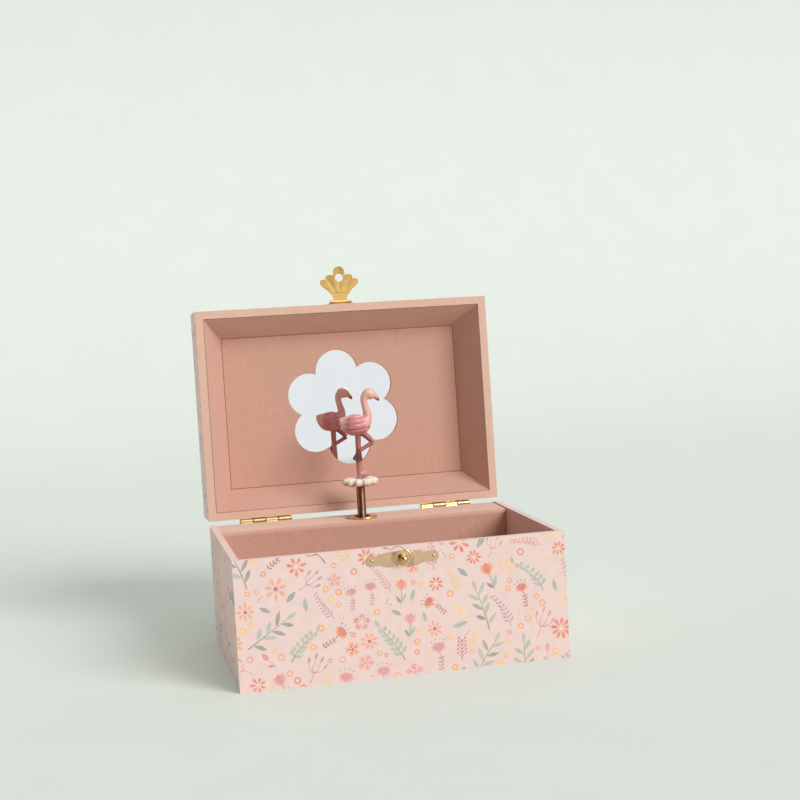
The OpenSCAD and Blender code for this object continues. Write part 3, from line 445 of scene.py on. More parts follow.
def curve_points(stations, count):
    """Points along a smooth curve through stations, which are tuples of equal length."""
    padded = [stations[0], *stations, stations[-1]]
    spans = len(stations) - 1
    out = []
    for step in range(count):
        at = step / (count - 1) * spans
        span = min(int(at), spans - 1)
        out.append(tuple(catmull_rom(*knots, at - span) for knots in zip(*padded[span : span + 4])))
    return out


def ring(x, y, radius, sides):
    """Points round a circle."""
    angles = [2 * math.pi * k / sides for k in range(sides)]
    return [(x + radius * math.cos(angle), y + radius * math.sin(angle)) for angle in angles]


def quads(rows, sides, closed=False):
    """Quads between rows of points that are loops; closed joins the last row to the first."""
    faces = []
    for i in range(rows if closed else rows - 1):
        here, ahead = i * sides, (i + 1) % rows * sides
        for k in range(sides):
            beside = (k + 1) % sides
            faces.append((here + k, ahead + k, ahead + beside, here + beside))
    return faces


# Smallest radius of a tube in millimetres
THINNEST = 0.05


def tube_mesh(stations, count=32, sides=16, flatten=1.0):
    """Points and faces of a closed tube; a station is (x, y, z, radius). flatten thins it along Y."""
    path = curve_points(stations, count)
    centres = [Vector(p[:3]) for p in path]
    points = []
    side = None
    for i, centre in enumerate(centres):
        ahead = centres[min(i + 1, count - 1)] - centres[max(i - 1, 0)]
        ahead.normalize()
        if side is None:
            side = ahead.cross(Vector((0, 1, 0)))
            if side.length < 0.1:
                side = ahead.cross(Vector((1, 0, 0)))
        side = (side - ahead * side.dot(ahead)).normalized()
        other = ahead.cross(side)
        radius = max(path[i][3], THINNEST)
        for c, s in ring(0, 0, 1, sides):
            offset = side * c + other * s
            offset = Vector((offset.x, offset.y * flatten, offset.z))
            points.append(centre + offset * radius)
    # Wound the other way, to face outwards
    faces = [(a, b, c, d) for a, d, c, b in quads(count, sides)]
    faces.append(tuple(range(sides - 1, -1, -1)))
    faces.append(tuple(range((count - 1) * sides, count * sides)))
    return points, faces


def fused(name, parts, material, voxel, rounds):
    """One smooth skin round overlapping closed meshes; voxel is in millimetres."""
    points, faces = [], []
    for part_points, part_faces in parts:
        faces += [tuple(index + len(points) for index in face) for face in part_faces]
        points += part_points
    piece = piece_from(name, points, faces, [material])
    remesh = piece.modifiers.new("remesh", "REMESH")
    remesh.mode = "VOXEL"
    remesh.voxel_size = voxel * MM
    smooth = piece.modifiers.new("smooth", "SMOOTH")
    smooth.factor = 0.5
    smooth.iterations = rounds
    bpy.context.view_layer.update()
    baked = bpy.data.meshes.new_from_object(piece.evaluated_get(bpy.context.evaluated_depsgraph_get()))
    piece.modifiers.clear()
    piece.data = baked
    give(piece, material)
    baked.shade_smooth()
    return piece


def egg_mesh(centre, radii, tilt=0.0):
    """A closed ellipsoid, tilted about Y."""
    rings, sides = 24, 32
    turn = Matrix.Rotation(math.radians(tilt), 3, "Y")
    points = []
    for i in range(1, rings):
        latitude = math.pi * i / rings
        for c, s in ring(0, 0, 1, sides):
            x = radii[0] * math.cos(latitude)
            y = radii[1] * math.sin(latitude) * c
            z = radii[2] * math.sin(latitude) * s
            points.append(Vector(centre) + turn @ Vector((x, y, z)))
    faces = quads(rings - 1, sides)
    faces.append(tuple(range(sides)))
    faces.append(tuple(range((rings - 1) * sides - 1, (rings - 2) * sides - 1, -1)))
    return points, faces


# ---- Printed paper ----
# A motif is a list of (outline, colour name); outlines are millimetres about the motif's middle.


def turned_points(outline, x, y, angle, scale=1.0):
    """An outline turned by degrees, scaled and moved to (x, y)."""
    turn = math.radians(angle)
    c, s = math.cos(turn) * scale, math.sin(turn) * scale
    return [(x + c * u - s * v, y + s * u + c * v) for u, v in outline]


def petal(length, width, angle, start, colour, tip=0.5):
    """One petal or leaf from the middle outwards; tip says where it is widest."""
    steps = 5
    outline = []
    for side in (1, -1):
        order = range(steps + 1) if side == 1 else range(steps - 1, 0, -1)
        for i in order:
            share = i / steps
            bulge = math.sin(math.pi * share ** (math.log(0.5) / math.log(tip)))
            outline.append((start + length * share, side * width / 2 * bulge))
    return turned_points(outline, 0, 0, angle), colour


def dot(x, y, radius, colour, sides=8):
    return ring(x, y, radius, sides), colour


def stroke(points, width, colour):
    """A thin tapered line through the points."""
    left, right = [], []
    for i, (x, y) in enumerate(points):
        ahead = points[min(i + 1, len(points) - 1)]
        behind = points[max(i - 1, 0)]
        dx, dy = ahead[0] - behind[0], ahead[1] - behind[1]
        size = math.hypot(dx, dy) or 1.0
        half = width / 2 * (1 - 0.5 * i / (len(points) - 1))
        left.append((x - dy / size * half, y + dx / size * half))
        right.append((x + dy / size * half, y - dx / size * half))
    return left + right[::-1], colour


def moved(shapes, x, y, angle=0.0, scale=1.0):
    return [(turned_points(outline, x, y, angle, scale), ink) for outline, ink in shapes]


def blossom(rng):
    """Five round petals with a lighter middle."""
    pairs = [("coral", "ochre"), ("peach", "wine"), ("blush", "coral"), ("rose", "butter")]
    colour, heart = rng.choice(pairs)
    shapes = [petal(5.4, 4.2, 90 + 72 * k, 0.3, colour, 0.66) for k in range(5)]
    shapes += [petal(3.0, 0.7, 90 + 72 * k, 0.6, heart, 0.62) for k in range(5)]
    return shapes + [dot(0, 0, 0.9, heart)], 5.7, 5.7


def daisy(rng):
    """Many narrow petals round a button."""
    colour, heart = rng.choice([("coral", "butter"), ("butter", "ochre"), ("peach", "wine")])
    count = rng.choice([7, 8, 9])
    shapes = [petal(rng.uniform(4.4, 5.5), 2.0, 360 * k / count, 0.8, colour, 0.64) for k in range(count)]
    return shapes + [dot(0, 0, 1.1, heart)], 5.9, 5.9


def tulip(rng):
    """A cup of three petals on a stem with two leaves."""
    colour, edge = rng.choice([("coral", "peach"), ("rose", "blush"), ("peach", "coral")])
    stem = [(0.3 * math.sin(i), -1.0 - 2.0 * i) for i in range(6)]
    shapes = [stroke(stem, 0.6, "grey_green")]
    shapes += moved([petal(7.0, 2.2, 62, 0.0, "sage")], 0.1, -9.5)
    shapes += moved([petal(6.2, 2.0, 124, 0.0, "grey_green")], 0.0, -10.2)
    for lean, ink in ((24, edge), (-24, edge), (0, colour)):
        shapes += moved([petal(7.4, 4.4, 90 - lean, 0.0, ink)], 0, -1.6)
    return moved(shapes, 0, 2.5), 9.6, 3.4


def leafy_sprig(rng):
    """A bent stem with paired oval leaves."""
    ink, stem_ink = rng.choice([("sage", "grey_green"), ("grey_green", "sage"), ("sage", "mauve")])
    bend = rng.uniform(-0.35, 0.35)
    stem = [(bend * (2.6 * i) ** 2 / 10, -9 + 2.6 * i) for i in range(8)]
    shapes = [stroke(stem, 0.6, stem_ink)]
    for i in range(1, 7):
        for side in (1, -1):
            leaf = petal(4.8 - 0.35 * i, 1.9, 90 - side * rng.uniform(42, 56), 0.2, ink)
            shapes += moved([leaf], *stem[i])
    shapes += moved([petal(4.2, 1.8, 90, 0.0, ink)], *stem[-1])
    return moved(shapes, 0, -1.5), 11.4, 3.7


def branch(rng):
    """A long bent twig with narrow leaves on alternate sides."""
    bend = rng.uniform(-0.4, 0.4)
    stem = [(bend * (i - 4) ** 2 / 4, -12 + 2.7 * i) for i in range(9)]
    shapes = [stroke(stem, 0.7, "grey_green")]
    for i in range(1, 8):
        side = 1 if i % 2 else -1
        ink = rng.choice(["sage", "grey_green"])
        leaf = petal(rng.uniform(6.0, 8.0), 2.1, 90 - side * rng.uniform(34, 58), 0.3, ink)
        shapes += moved([leaf], *stem[i])
    shapes += moved([petal(6.4, 2.0, 90, 0.0, "sage")], *stem[-1])
    return moved(shapes, 0, -2.0), 14.2, 5.4


def poppy(rng):
    """An open fan of petals with stamens above it and a feathered stem below."""
    colour, edge, ink = rng.choice([("coral", "peach", "wine"), ("rose", "blush", "mauve")])
    stem = [(0.5 * math.sin(0.9 * i), -1.8 * i) for i in range(6)]
    shapes = [stroke(stem, 0.5, ink)]
    for i in range(2, 6):
        shapes += moved([petal(2.0, 0.7, 90 - side * 52, 0.1, ink) for side in (1, -1)], *stem[i])
    for lean in (-46, 46, -23, 23, 0):
        ink_here = edge if abs(lean) == 46 else colour
        shapes.append(petal(5.4, 3.2, 90 - lean, -0.6, ink_here, 0.66))
    for lean in (-30, -10, 10, 30):
        turn = math.radians(90 - lean)
        shapes.append(dot(6.4 * math.cos(turn), 6.4 * math.sin(turn), 0.42, ink, 6))
        shapes.append(petal(4.6, 0.4, 90 - lean, 1.2, ink))
    return moved(shapes, 0, 1.4), 8.4, 4.4


def forked_twig(rng):
    """Arms that fork from one stalk, each with a narrow bud."""
    ink = rng.choice(["mauve", "rose", "wine"])
    shapes = [stroke([(0.0, -8.0), (0.3, -5.0), (0.0, -2.4)], 0.6, ink)]
    for tip, high in ((-4.0, 3.2), (-1.6, 6.2), (1.6, 5.6), (4.1, 2.6)):
        shapes.append(stroke([(0.0, -2.6), (tip * 0.8, -0.6), (tip, high - 1.6)], 0.5, ink))
        shapes += moved([petal(3.8, 1.3, 90 - 3 * tip, 0.0, ink)], tip, high - 2.2)
    return moved(shapes, 0, 0.4), 8.0, 4.4


def berry_sprig(rng):
    """Thin stems that end in berries."""
    ink, berry = rng.choice([("ochre", "apricot"), ("mauve", "rose"), ("wine", "coral")])
    stem = [(0.0, -7 + 2.3 * i) for i in range(6)]
    shapes = [stroke(stem, 0.5, ink)]
    for i in range(1, 6):
        for side in (1, -1):
            x, y = side * (3.0 - 0.2 * i), stem[i][1] + 2.6
            shapes.append(stroke([stem[i], (x * 0.6, y - 0.9), (x, y)], 0.4, ink))
            shapes.append(dot(x, y, 0.8, berry, 7))
    shapes.append(dot(0, stem[-1][1] + 0.6, 0.9, berry, 7))
    return shapes, 7.8, 3.4


def fern(rng):
    """A frond of short slanting strokes."""
    ink = rng.choice(["mauve", "rose", "ochre"])
    bend = rng.uniform(-0.3, 0.3)
    stem = [(bend * i * i / 4, -8 + 2.0 * i) for i in range(9)]
    shapes = [stroke(stem, 0.45, ink)]
    for i in range(1, 9):
        fronds = [petal(3.6 - 0.28 * i, 0.9, 90 - side * 48, 0.1, ink, 0.6) for side in (1, -1)]
        shapes += moved(fronds, *stem[i])
    return shapes, 9.2, 2.8


def bud(rng):
    """A closed bud on a short curved stem with one leaf."""
    colour, ink = rng.choice([("wine", "grey_green"), ("rose", "sage"), ("coral", "mauve")])
    stem = [(0.9 * math.sin(0.5 * i), -6 + 1.7 * i) for i in range(5)]
    shapes = [stroke(stem, 0.5, ink)]
    shapes += moved([petal(4.6, 1.6, 128, 0.0, ink)], *stem[1])
    shapes += moved([petal(6.2, 3.0, 84, 0.0, colour, 0.45), petal(4.4, 1.1, 84, 0.4, "blush")], *stem[-1])
    return shapes, 7.4, 2.8


def ring_flower(rng):
    """A small round flower with a paler eye."""
    colour = rng.choice(["apricot", "peach", "rose", "blush"])
    size = rng.uniform(1.5, 2.4)
    return [dot(0, 0, size, colour, 10), dot(0, 0, size * 0.45, "butter", 7)], size + 0.2, size + 0.2


def seeds(rng):
    """A scatter of three tiny drops."""
    ink = rng.choice(["grey_green", "mauve", "ochre"])
    shapes = []
    for k in range(3):
        shapes += moved([petal(1.7, 0.8, rng.uniform(40, 140), 0.0, ink)], (k - 1) * 2.1, rng.uniform(-1, 1))
    return shapes, 2.0, 2.8


def lone_leaf(rng):
    """A single leaf with a vein."""
    ink, vein = rng.choice([("sage", "grey_green"), ("grey_green", "sage")])
    return moved([petal(7.6, 2.6, 90, 0.0, ink), petal(6.4, 0.45, 90, 0.4, vein, 0.4)], 0, -3.8), 4.0, 1.4


# Motif, number on a face of the size of the box's front, swing in degrees, smallest and largest scale
MOTIFS = (
    (branch, 5, 80, 0.95, 1.3),
    (leafy_sprig, 3, 75, 1.0, 1.4),
    (forked_twig, 7, 60, 0.9, 1.25),
    (poppy, 9, 60, 0.9, 1.2),
    (tulip, 4, 34, 0.85, 1.1),
    (fern, 9, 70, 0.95, 1.4),
    (daisy, 17, 180, 0.75, 1.15),
    (blossom, 7, 180, 0.7, 1.0),
    (berry_sprig, 5, 70, 0.85, 1.2),
    (bud, 7, 70, 0.85, 1.2),
    (lone_leaf, 12, 180, 0.9, 1.3),
    (ring_flower, 64, 180, 0.8, 1.1),
    (seeds, 46, 180, 0.8, 1.1),
)
FRONT_AREA = 190 * 73.5
MOTIF_GAP = 0.35
# How far a motif's middle may lie past the edge, where the motif is cut off
OVERHANG = 2
TRIES = 90
# Smallest printed face and speck in square millimetres, margin and weld in millimetres
SMALLEST_PRINTED_FACE = 2500
SMALLEST_SPECK = 0.02
PRINT_MARGIN = 0.02
WELD = 0.0005
# Spot below the catch's knob, where a round motif would pass for a nail: x, height and radius
PLAIN_SPOT = (-2.4, 59.6, 3.0)


def covered(x, y, angle, half_length, half_width):
    """Discs along a motif's own axis that together cover it."""
    run = max(0.0, half_length - half_width)
    count = max(1, math.ceil(run / (0.6 * half_width)))
    turn = math.radians(angle)
    discs = []
    for i in range(-count, count + 1):
        along = run * i / count
        discs.append((x - math.sin(turn) * along, y + math.cos(turn) * along, half_width))
    return discs if run else discs[:1]


def layout(low, high, rng):
    """Places motifs over a rectangle, the large ones first, with none overlapping another."""
    share = (high[0] - low[0]) * (high[1] - low[1]) / FRONT_AREA
    placed, shapes = [PLAIN_SPOT], []
    for motif, count, swing, smallest, largest in MOTIFS:
        for _ in range(max(1, round(count * share))):
            outlines, half_length, half_width = motif(rng)
            for _ in range(TRIES):
                x = rng.uniform(low[0] - OVERHANG, high[0] + OVERHANG)
                y = rng.uniform(low[1] - OVERHANG, high[1] + OVERHANG)
                scale = rng.uniform(smallest, largest)
                angle = rng.uniform(-swing, swing)
                discs = covered(x, y, angle, half_length * scale, half_width * scale)
                if all(
                    math.hypot(a - u, b - v) > r + q + MOTIF_GAP for a, b, r in discs for u, v, q in placed
                ):
                    placed += discs
                    shapes += moved(outlines, x, y, angle, scale)
                    break
    return shapes


def clipped(outline, low, high):
    """The part of an outline inside a rectangle, or None."""
    for axis in (0, 1):
        for limit, sign in ((low[axis], 1), (high[axis], -1)):
            kept = []
            for i, point in enumerate(outline):
                before = outline[i - 1]
                inside = sign * (point[axis] - limit) >= 0
                was_inside = sign * (before[axis] - limit) >= 0
                if inside != was_inside:
                    t = (limit - before[axis]) / (point[axis] - before[axis])
                    kept.append(tuple(b + (p - b) * t for b, p in zip(before, point)))
                if inside:
                    kept.append(point)
            outline = kept
            if len(outline) < 3:
                return None
    return outline


def signed_area(outline):
    """Area in square millimetres, positive for an anticlockwise outline."""
    return sum(outline[i - 1][0] * y - x * outline[i - 1][1] for i, (x, y) in enumerate(outline)) / 2


def within(outline, x, y):
    """Whether a point is inside an outline."""
    inside = False
    for (x1, y1), (x2, y2) in zip(outline, [outline[-1], *outline[:-1]]):
        if (y1 > y) != (y2 > y) and x < x1 + (x2 - x1) * (y - y1) / (y2 - y1):
            inside = not inside
    return inside


def outer_faces(mesh):
    """Face groups of the wrap's outside: for each direction, the faces on the plane farthest out."""
    groups = {}
    for face in mesh.polygons:
        direction = tuple(round(c, 2) + 0.0 for c in face.normal)
        level = round(face.normal.dot(face.center) / MM, 1)
        groups.setdefault(direction, {}).setdefault(level, []).append(face.index)
    chosen = []
    for levels in groups.values():
        faces = levels[max(levels)]
        area = sum(mesh.polygons[i].area for i in faces) / MM**2
        if area > SMALLEST_PRINTED_FACE:
            chosen.append((mesh.polygons[faces[0]].normal.normalized(), faces))
    return chosen


def flat_cells(mesh, group, points, right, up):
    """The faces of one plane as flat points and cells of their numbers."""
    flat, number_of, cells = [], {}, []
    for i in group:
        cell = []
        for v in mesh.polygons[i].vertices:
            if v not in number_of:
                number_of[v] = len(flat)
                flat.append(Vector((points[v].dot(right), points[v].dot(up))))
            cell.append(number_of[v])
        cells.append(cell)
    return flat, cells


def cut_flowers(flat, cells, rng):
    """Cuts flowers into a plane's cells; gives the corners and the triangles with their tints."""
    low = (min(p.x for p in flat) + PRINT_MARGIN, min(p.y for p in flat) + PRINT_MARGIN)
    high = (max(p.x for p in flat) - PRINT_MARGIN, max(p.y for p in flat) - PRINT_MARGIN)
    paper_cells = len(cells)
    inks = list(INKS)
    printed = {}
    for outline, ink in layout(low, high, rng):
        outline = clipped(outline, low, high)
        if outline and abs(signed_area(outline)) > SMALLEST_SPECK:
            if signed_area(outline) < 0:
                outline.reverse()
            printed[len(cells)] = (outline, 1 + inks.index(ink))
            cells.append(list(range(len(flat), len(flat) + len(outline))))
            flat += [Vector(p) for p in outline]
    corners, _, triangles, _, _, origins = delaunay_2d_cdt(flat, [], cells, 0, 1e-4, True)
    tinted = []
    for triangle, owners in zip(triangles, origins):
        if min(owners, default=paper_cells) < paper_cells:
            middle = sum((corners[i] for i in triangle), Vector((0, 0))) / 3
            tint = 0
            for owner in sorted(owners):
                if owner in printed and within(printed[owner][0], *middle):
                    tint = printed[owner][1]
            tinted.append((triangle, tint))
    return corners, tinted


def print_wrap(node, name, body, seed):
    """The wrap of a CAD node with flowers cut into its outer faces, each in its own ink."""
    source = NODES[node].data
    rng = random.Random(seed)
    points = [v.co / MM for v in source.vertices]
    printed = outer_faces(source)
    taken = {i for _, group in printed for i in group}
    faces = [tuple(face.vertices) for face in source.polygons if face.index not in taken]
    tints = [0] * len(faces)
    for normal, group in printed:
        up = Vector((0, 0, 1)) if abs(normal.z) < 0.7 else Vector((0, 1, 0))
        right = up.cross(normal).normalized()
        up = normal.cross(right)
        level = normal.dot(points[source.polygons[group[0]].vertices[0]])
        corners, tinted = cut_flowers(*flat_cells(source, group, points, right, up), rng)
        shift = len(points)
        points += [right * p.x + up * p.y + normal * level for p in corners]
        for triangle, tint in tinted:
            faces.append(tuple(i + shift for i in triangle))
            tints.append(tint)
    piece = piece_from(name, points, faces, [GROUND_MATERIAL, *INKS.values()], smooth=False)
    piece.data.polygons.foreach_set("material_index", tints)
    welded = bmesh.new()
    welded.from_mesh(piece.data)
    bmesh.ops.remove_doubles(welded, verts=welded.verts, dist=WELD * MM)
    loose = [v for v in welded.verts if not v.link_faces]
    bmesh.ops.delete(welded, geom=loose, context="VERTS")
    welded.to_mesh(piece.data)
    welded.free()
    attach(piece, body)
    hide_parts(node)


# ---- Panel ----

PETAL_RADIUS = 14.0
PETAL_DISTANCE = 24.0
FLOWER_TURN = 7.0
RING_SIDES = 64
# How far the slopes reach in over the panel's edge, and the width of the strip of painted shade along the
# crease where they meet it
SLOPE_REACH = 12.4
CREASE = 0.5


def rectangle(half_width, low, high):
    return [(-half_width, low), (half_width, low), (half_width, high), (-half_width, high)]


def make_panel():
    """The lid's flocked panel, with its flower window turned a little as in the real box."""
    source = NODES["lid_panel"].data
    points = [v.co / MM for v in source.vertices]
    normal = max(source.polygons, key=lambda face: -face.normal.y * face.area).normal.normalized()
    right = Vector((0, 0, 1)).cross(normal).normalized()
    up = normal.cross(right)
    levels = [p.dot(normal) for p in points]
    across = [p.dot(right) for p in points]
    heights = [p.dot(up) for p in points]
    wall_x = max(across)
    window = [h for h, x in zip(heights, across) if abs(x) < wall_x - 1]
    middle = (max(window) + min(window)) / 2
    low, high = min(heights), max(heights)

    insets = (0.0, SLOPE_REACH, SLOPE_REACH + CREASE)
    outlines = [rectangle(wall_x - inset, low + inset, high - inset) for inset in insets]
    outlines.append(ring(0, middle, PETAL_DISTANCE, RING_SIDES))
    for k in range(6):
        turn = math.radians(30 + 60 * k + FLOWER_TURN)
        petal_x, petal_y = PETAL_DISTANCE * math.cos(turn), middle + PETAL_DISTANCE * math.sin(turn)
        outlines.append(ring(petal_x, petal_y, PETAL_RADIUS, RING_SIDES))
    flat, cells = [], []
    for outline in outlines:
        cells.append(list(range(len(flat), len(flat) + len(outline))))
        flat += [Vector(p) for p in outline]
    corners, _, triangles, _, _, origins = delaunay_2d_cdt(flat, [], cells, 0, 1e-5, True)
    # Triangles in the thin strip just inside the slopes take a darker flock, painted shade in the crease
    card, in_crease_shade = [], []
    for triangle, owners in zip(triangles, origins):
        if max(owners) < len(insets):
            in_crease_shade.append(max(owners) == 1)
            card.append(tuple(triangle))

    count = len(corners)
    skins = [
        [right * p.x + up * p.y + normal * level for p in corners] for level in (max(levels), min(levels))
    ]
    faces = card + [tuple(i + count for i in reversed(triangle)) for triangle in card]
    edges = {(a, b) for triangle in card for a, b in zip(triangle, triangle[1:] + triangle[:1])}
    faces += [(b, a, a + count, b + count) for a, b in edges if (b, a) not in edges]
    # The second material is the darker flock of the painted crease shade
    materials = [MATERIALS["flock"], flock_material("painted_crease_shade", CREASE_SHADE_COLOUR)]
    piece = piece_from("window_panel", skins[0] + skins[1], faces, materials, smooth=False)
    for face, is_crease_shade in zip(piece.data.polygons, in_crease_shade):
        face.material_index = int(is_crease_shade)
    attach(piece, "lid")
    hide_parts("lid_panel")


# ---- Bird ----

POST_Y = 49.5
DISC_LOW = 93.5
DISC_TOP = 98.5


def bird_point(x, y, up, *radius):
    """A point given from the post's axis, with its height above the disc."""
    return (x, POST_Y + y, DISC_TOP + up, *radius)


def bird_tube(stations, **options):
    """A tube through stations (x, y, height, radius); those in the bird's middle plane leave out y."""
    full = [(s[0], 0, *s[1:]) if len(s) == 3 else s for s in stations]
    return tube_mesh([bird_point(*station) for station in full], **options)


BODY_MIDDLE = (-0.5, 33.5)
BODY_RADII = (9.3, 6.0, 6.9)


def on_flank(x, up, side, lift):
    """A point on the bird's flank, lifted off the skin."""
    share = 1 - ((x - BODY_MIDDLE[0]) / BODY_RADII[0]) ** 2 - ((up - BODY_MIDDLE[1]) / BODY_RADII[2]) ** 2
    return (x, side * (BODY_RADII[1] * math.sqrt(max(share, 0.12)) + lift), up)


# Wing feathers, upper to lower: (x, height) of the shoulder, middle and tip, then the widest half width
FEATHERS = (
    ((7.4, 36.6), (0.6, 38.3), (-6.6, 37.6), 1.7),
    ((7.8, 34.6), (0.2, 35.7), (-8.0, 35.0), 1.75),
    ((7.2, 32.4), (0.2, 32.9), (-8.0, 32.2), 1.75),
    ((5.6, 30.2), (0.0, 30.3), (-6.4, 29.9), 1.55),
)


def make_wing(side, material):
    """A wing of fused feathers; side is 1 on the left and -1 on the right."""
    lobes = []
    for shoulder, middle, tip, half in FEATHERS:
        before_tip = tuple((a + 2 * b) / 3 for a, b in zip(middle, tip))
        stations = [
            (*on_flank(*shoulder, side, -0.7), 1.2),
            (*on_flank(*middle, side, -0.2), half),
            (*on_flank(*before_tip, side, 0.3), half * 0.95),
            (*on_flank(*tip, side, 0.5), 0.35),
        ]
        lobes.append(bird_tube(stations, count=28, sides=20, flatten=0.55))
    word = "left" if side > 0 else "right"
    return fused(f"bird_wing_{word}", lobes, material, voxel=0.22, rounds=4)


def make_bird():
    skin_stops = [(0.0, 206, 142, 132), (0.35, 222, 166, 154), (0.7, 224, 172, 160), (1.0, 230, 182, 166)]
    bill_stops = [(0.0, 88, 54, 48), (0.45, 120, 74, 66), (0.6, 214, 150, 130), (1.0, 228, 176, 156)]
    wing_stops = [(0.0, 186, 106, 106), (0.5, 200, 120, 122), (1.0, 210, 136, 138)]
    leg_stops = [(0.0, 196, 126, 120), (0.5, 182, 108, 102), (1.0, 166, 92, 86)]
    foot_stops = [(0.0, 98, 54, 48), (1.0, 120, 68, 62)]
    skin = resin_material("bird_skin", skin_stops, 26, 55)
    feathers = resin_material("bird_feathers", wing_stops, 27, 40, streaks=True)
    legs = resin_material("bird_legs", leg_stops, 0, 28)
    foot = resin_material("bird_foot", foot_stops, 10, 19)
    bill = resin_material("bird_bill", bill_stops, 46.5, 51.5)

    rump = [(-3.0, 30.4, 3.3), (-6.8, 32.2, 2.8), (-9.4, 35.0, 1.7), (-10.8, 37.9, 0.5)]
    neck = [(5.6, 34.6, 3.8), (6.9, 39.4, 2.8), (6.2, 43.4, 2.3), (5.3, 47.2, 2.15)]
    neck += [(5.6, 50.6, 2.4), (7.6, 52.8, 3.0)]
    body = [
        egg_mesh(bird_point(BODY_MIDDLE[0], 0, BODY_MIDDLE[1]), BODY_RADII, tilt=-4),
        egg_mesh(bird_point(4.6, 0, 34.6), (4.5, 4.3, 5.0)),
        bird_tube([(-4.4, 33.6, 6.1), (-7.4, 34.5, 4.0), (-10.2, 37.0, 0.9)], count=24, flatten=0.7),
        bird_tube([(-1.0, 38.0, 2.3), (-6.0, 37.8, 1.7), (-10.8, 38.0, 0.5)], count=24, flatten=0.9),
        bird_tube(rump, count=24, flatten=0.8),
        bird_tube(neck, count=40),
        egg_mesh(bird_point(8.9, 0, 52.6), (4.4, 3.0, 3.5), tilt=12),
    ]
    pieces = [fused("bird_body", body, skin, voxel=0.3, rounds=5)]

    bill_stations = [(11.4, 51.8, 2.1), (13.0, 50.5, 1.7), (14.0, 49.3, 1.3), (14.6, 47.9, 0.6)]
    pieces.append(fused("bird_bill", [bird_tube(bill_stations)], bill, voxel=0.2, rounds=2))
    pieces += [make_wing(side, feathers) for side in (-1, 1)]

    leg_parts = [
        bird_tube([(0.0, 0.3, 1.9), (0.0, 9.0, 1.95), (0.0, 18.0, 1.75), (0.2, 28.0, 1.9)]),
        bird_tube([(0.2, 2.2, 2.1), (2.6, 0.1, 2.1, 2.0), (5.0, 0.2, 1.4, 1.3), (6.1, 0.2, 1.0, 0.7)]),
        bird_tube([(3.0, -1.0, 28.5, 2.2), (6.4, -1.1, 25.2, 1.8), (9.2, -1.2, 22.1, 1.45)]),
        bird_tube([(9.3, -1.2, 22.0, 1.35), (5.0, -1.5, 19.7, 1.3), (0.6, -1.8, 17.4, 1.35)]),
    ]
    pieces.append(fused("bird_legs", leg_parts, legs, voxel=0.25, rounds=3))
    pieces.append(make_webbed_foot(foot))

    for piece in pieces:
        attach(piece, "figure")
    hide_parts("flamingo")


def make_webbed_foot(material):
    """The folded leg's foot: three toes with a web between them, hanging straight down."""
    ankle = (0.4, -2.0, 18.2)
    toes = [(-4.2, -2.3, 12.2), (-1.6, -2.2, 10.1), (1.3, -2.0, 10.9)]
    parts = [bird_tube([(*ankle, 1.0), (*toe, 0.55)], count=12, sides=12) for toe in toes]
    outline = [ankle, *toes]
    web = [Vector(bird_point(x, y + shift, up)) for shift in (-0.35, 0.35) for x, y, up in outline]
    count = len(outline)
    faces = [tuple(range(count)), tuple(range(2 * count - 1, count - 1, -1))]
    faces += quads(2, count)
    return fused("bird_foot", [*parts, (web, faces)], material, voxel=0.2, rounds=2)


def make_disc():
    """The gathered cream disc: puffed lobes with small folds between them."""
    lobes, around, section = 10, 320, 40
    inner, outer, notch, crease = 2.2, 11.6, 2.6, 0.35
    # Exponents below 1 that fill out each lobe, and the section outwards and upwards
    fill_lobe, fill_out, fill_up = 0.6, 0.8, 0.62
    centre = (inner + outer) / 2
    half_high = (DISC_TOP - DISC_LOW) / 2
    middle = (DISC_LOW + DISC_TOP) / 2
    points = []
    for i in range(around):
        angle = 2 * math.pi * i / around
        lobe = abs(math.cos(lobes * angle / 2 + 0.35 * math.sin(3 * angle))) ** fill_lobe
        fold = 0.5 + 0.5 * math.sin(3 * lobes * angle + 2.0 * math.sin(5 * angle))
        reach = outer - notch * (1 - lobe) - crease * fold
        for c, s in ring(0, 0, 1, section):
            half_wide = reach - centre if c > 0 else centre - inner
            radius = centre + half_wide * math.copysign(abs(c) ** fill_out, c)
            share = max(0.0, (radius - inner) / (outer - inner))
            height = half_high * (1 - 0.5 * share * (1 - lobe)) * math.copysign(abs(s) ** fill_up, s)
            height *= 1 - 0.1 * fold * share
            points.append((radius * math.cos(angle), POST_Y + radius * math.sin(angle), middle + height))
    # The cream darkens towards the disc's underside: painted shade
    cream_stops_shaded_below = [(0.0, 207, 179, 157), (0.5, 234, 217, 199), (1.0, 241, 228, 212)]
    cream = resin_material("cream_gathers", cream_stops_shaded_below, DISC_LOW - DISC_TOP, 0, 0.55, sheen_size=1.0)
    piece = piece_from("gathered_disc", points, quads(around, section, closed=True), [cream])
    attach(piece, "figure")
    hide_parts("scalloped_disc")


# ---- Spring ----

SPRING_RADIUS = 1.5
SPRING_WIRE = 0.32
SPRING_TURNS = 9


def make_spring():
    """The post's spring, which bends in the real box as the post folds; here a straight coil, all of it
    between the spindle and the tube's mouth.
    """
    low, high = (corner.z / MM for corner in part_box("post_spring"))
    steps = SPRING_TURNS * 24
    stations = []
    for i in range(steps + 1):
        angle = 2 * math.pi * SPRING_TURNS * i / steps
        x, y = SPRING_RADIUS * math.cos(angle), POST_Y + SPRING_RADIUS * math.sin(angle)
        height = low + SPRING_WIRE + (high - low - 2 * SPRING_WIRE) * i / steps
        stations.append((x, y, height, SPRING_WIRE))
    points, faces = tube_mesh(stations, count=steps + 1, sides=8)
    spring = piece_from("fold_spring", points, faces, [MATERIALS["steel"]])
    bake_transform(spring)
    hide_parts("post_spring")


# ---- Room ----


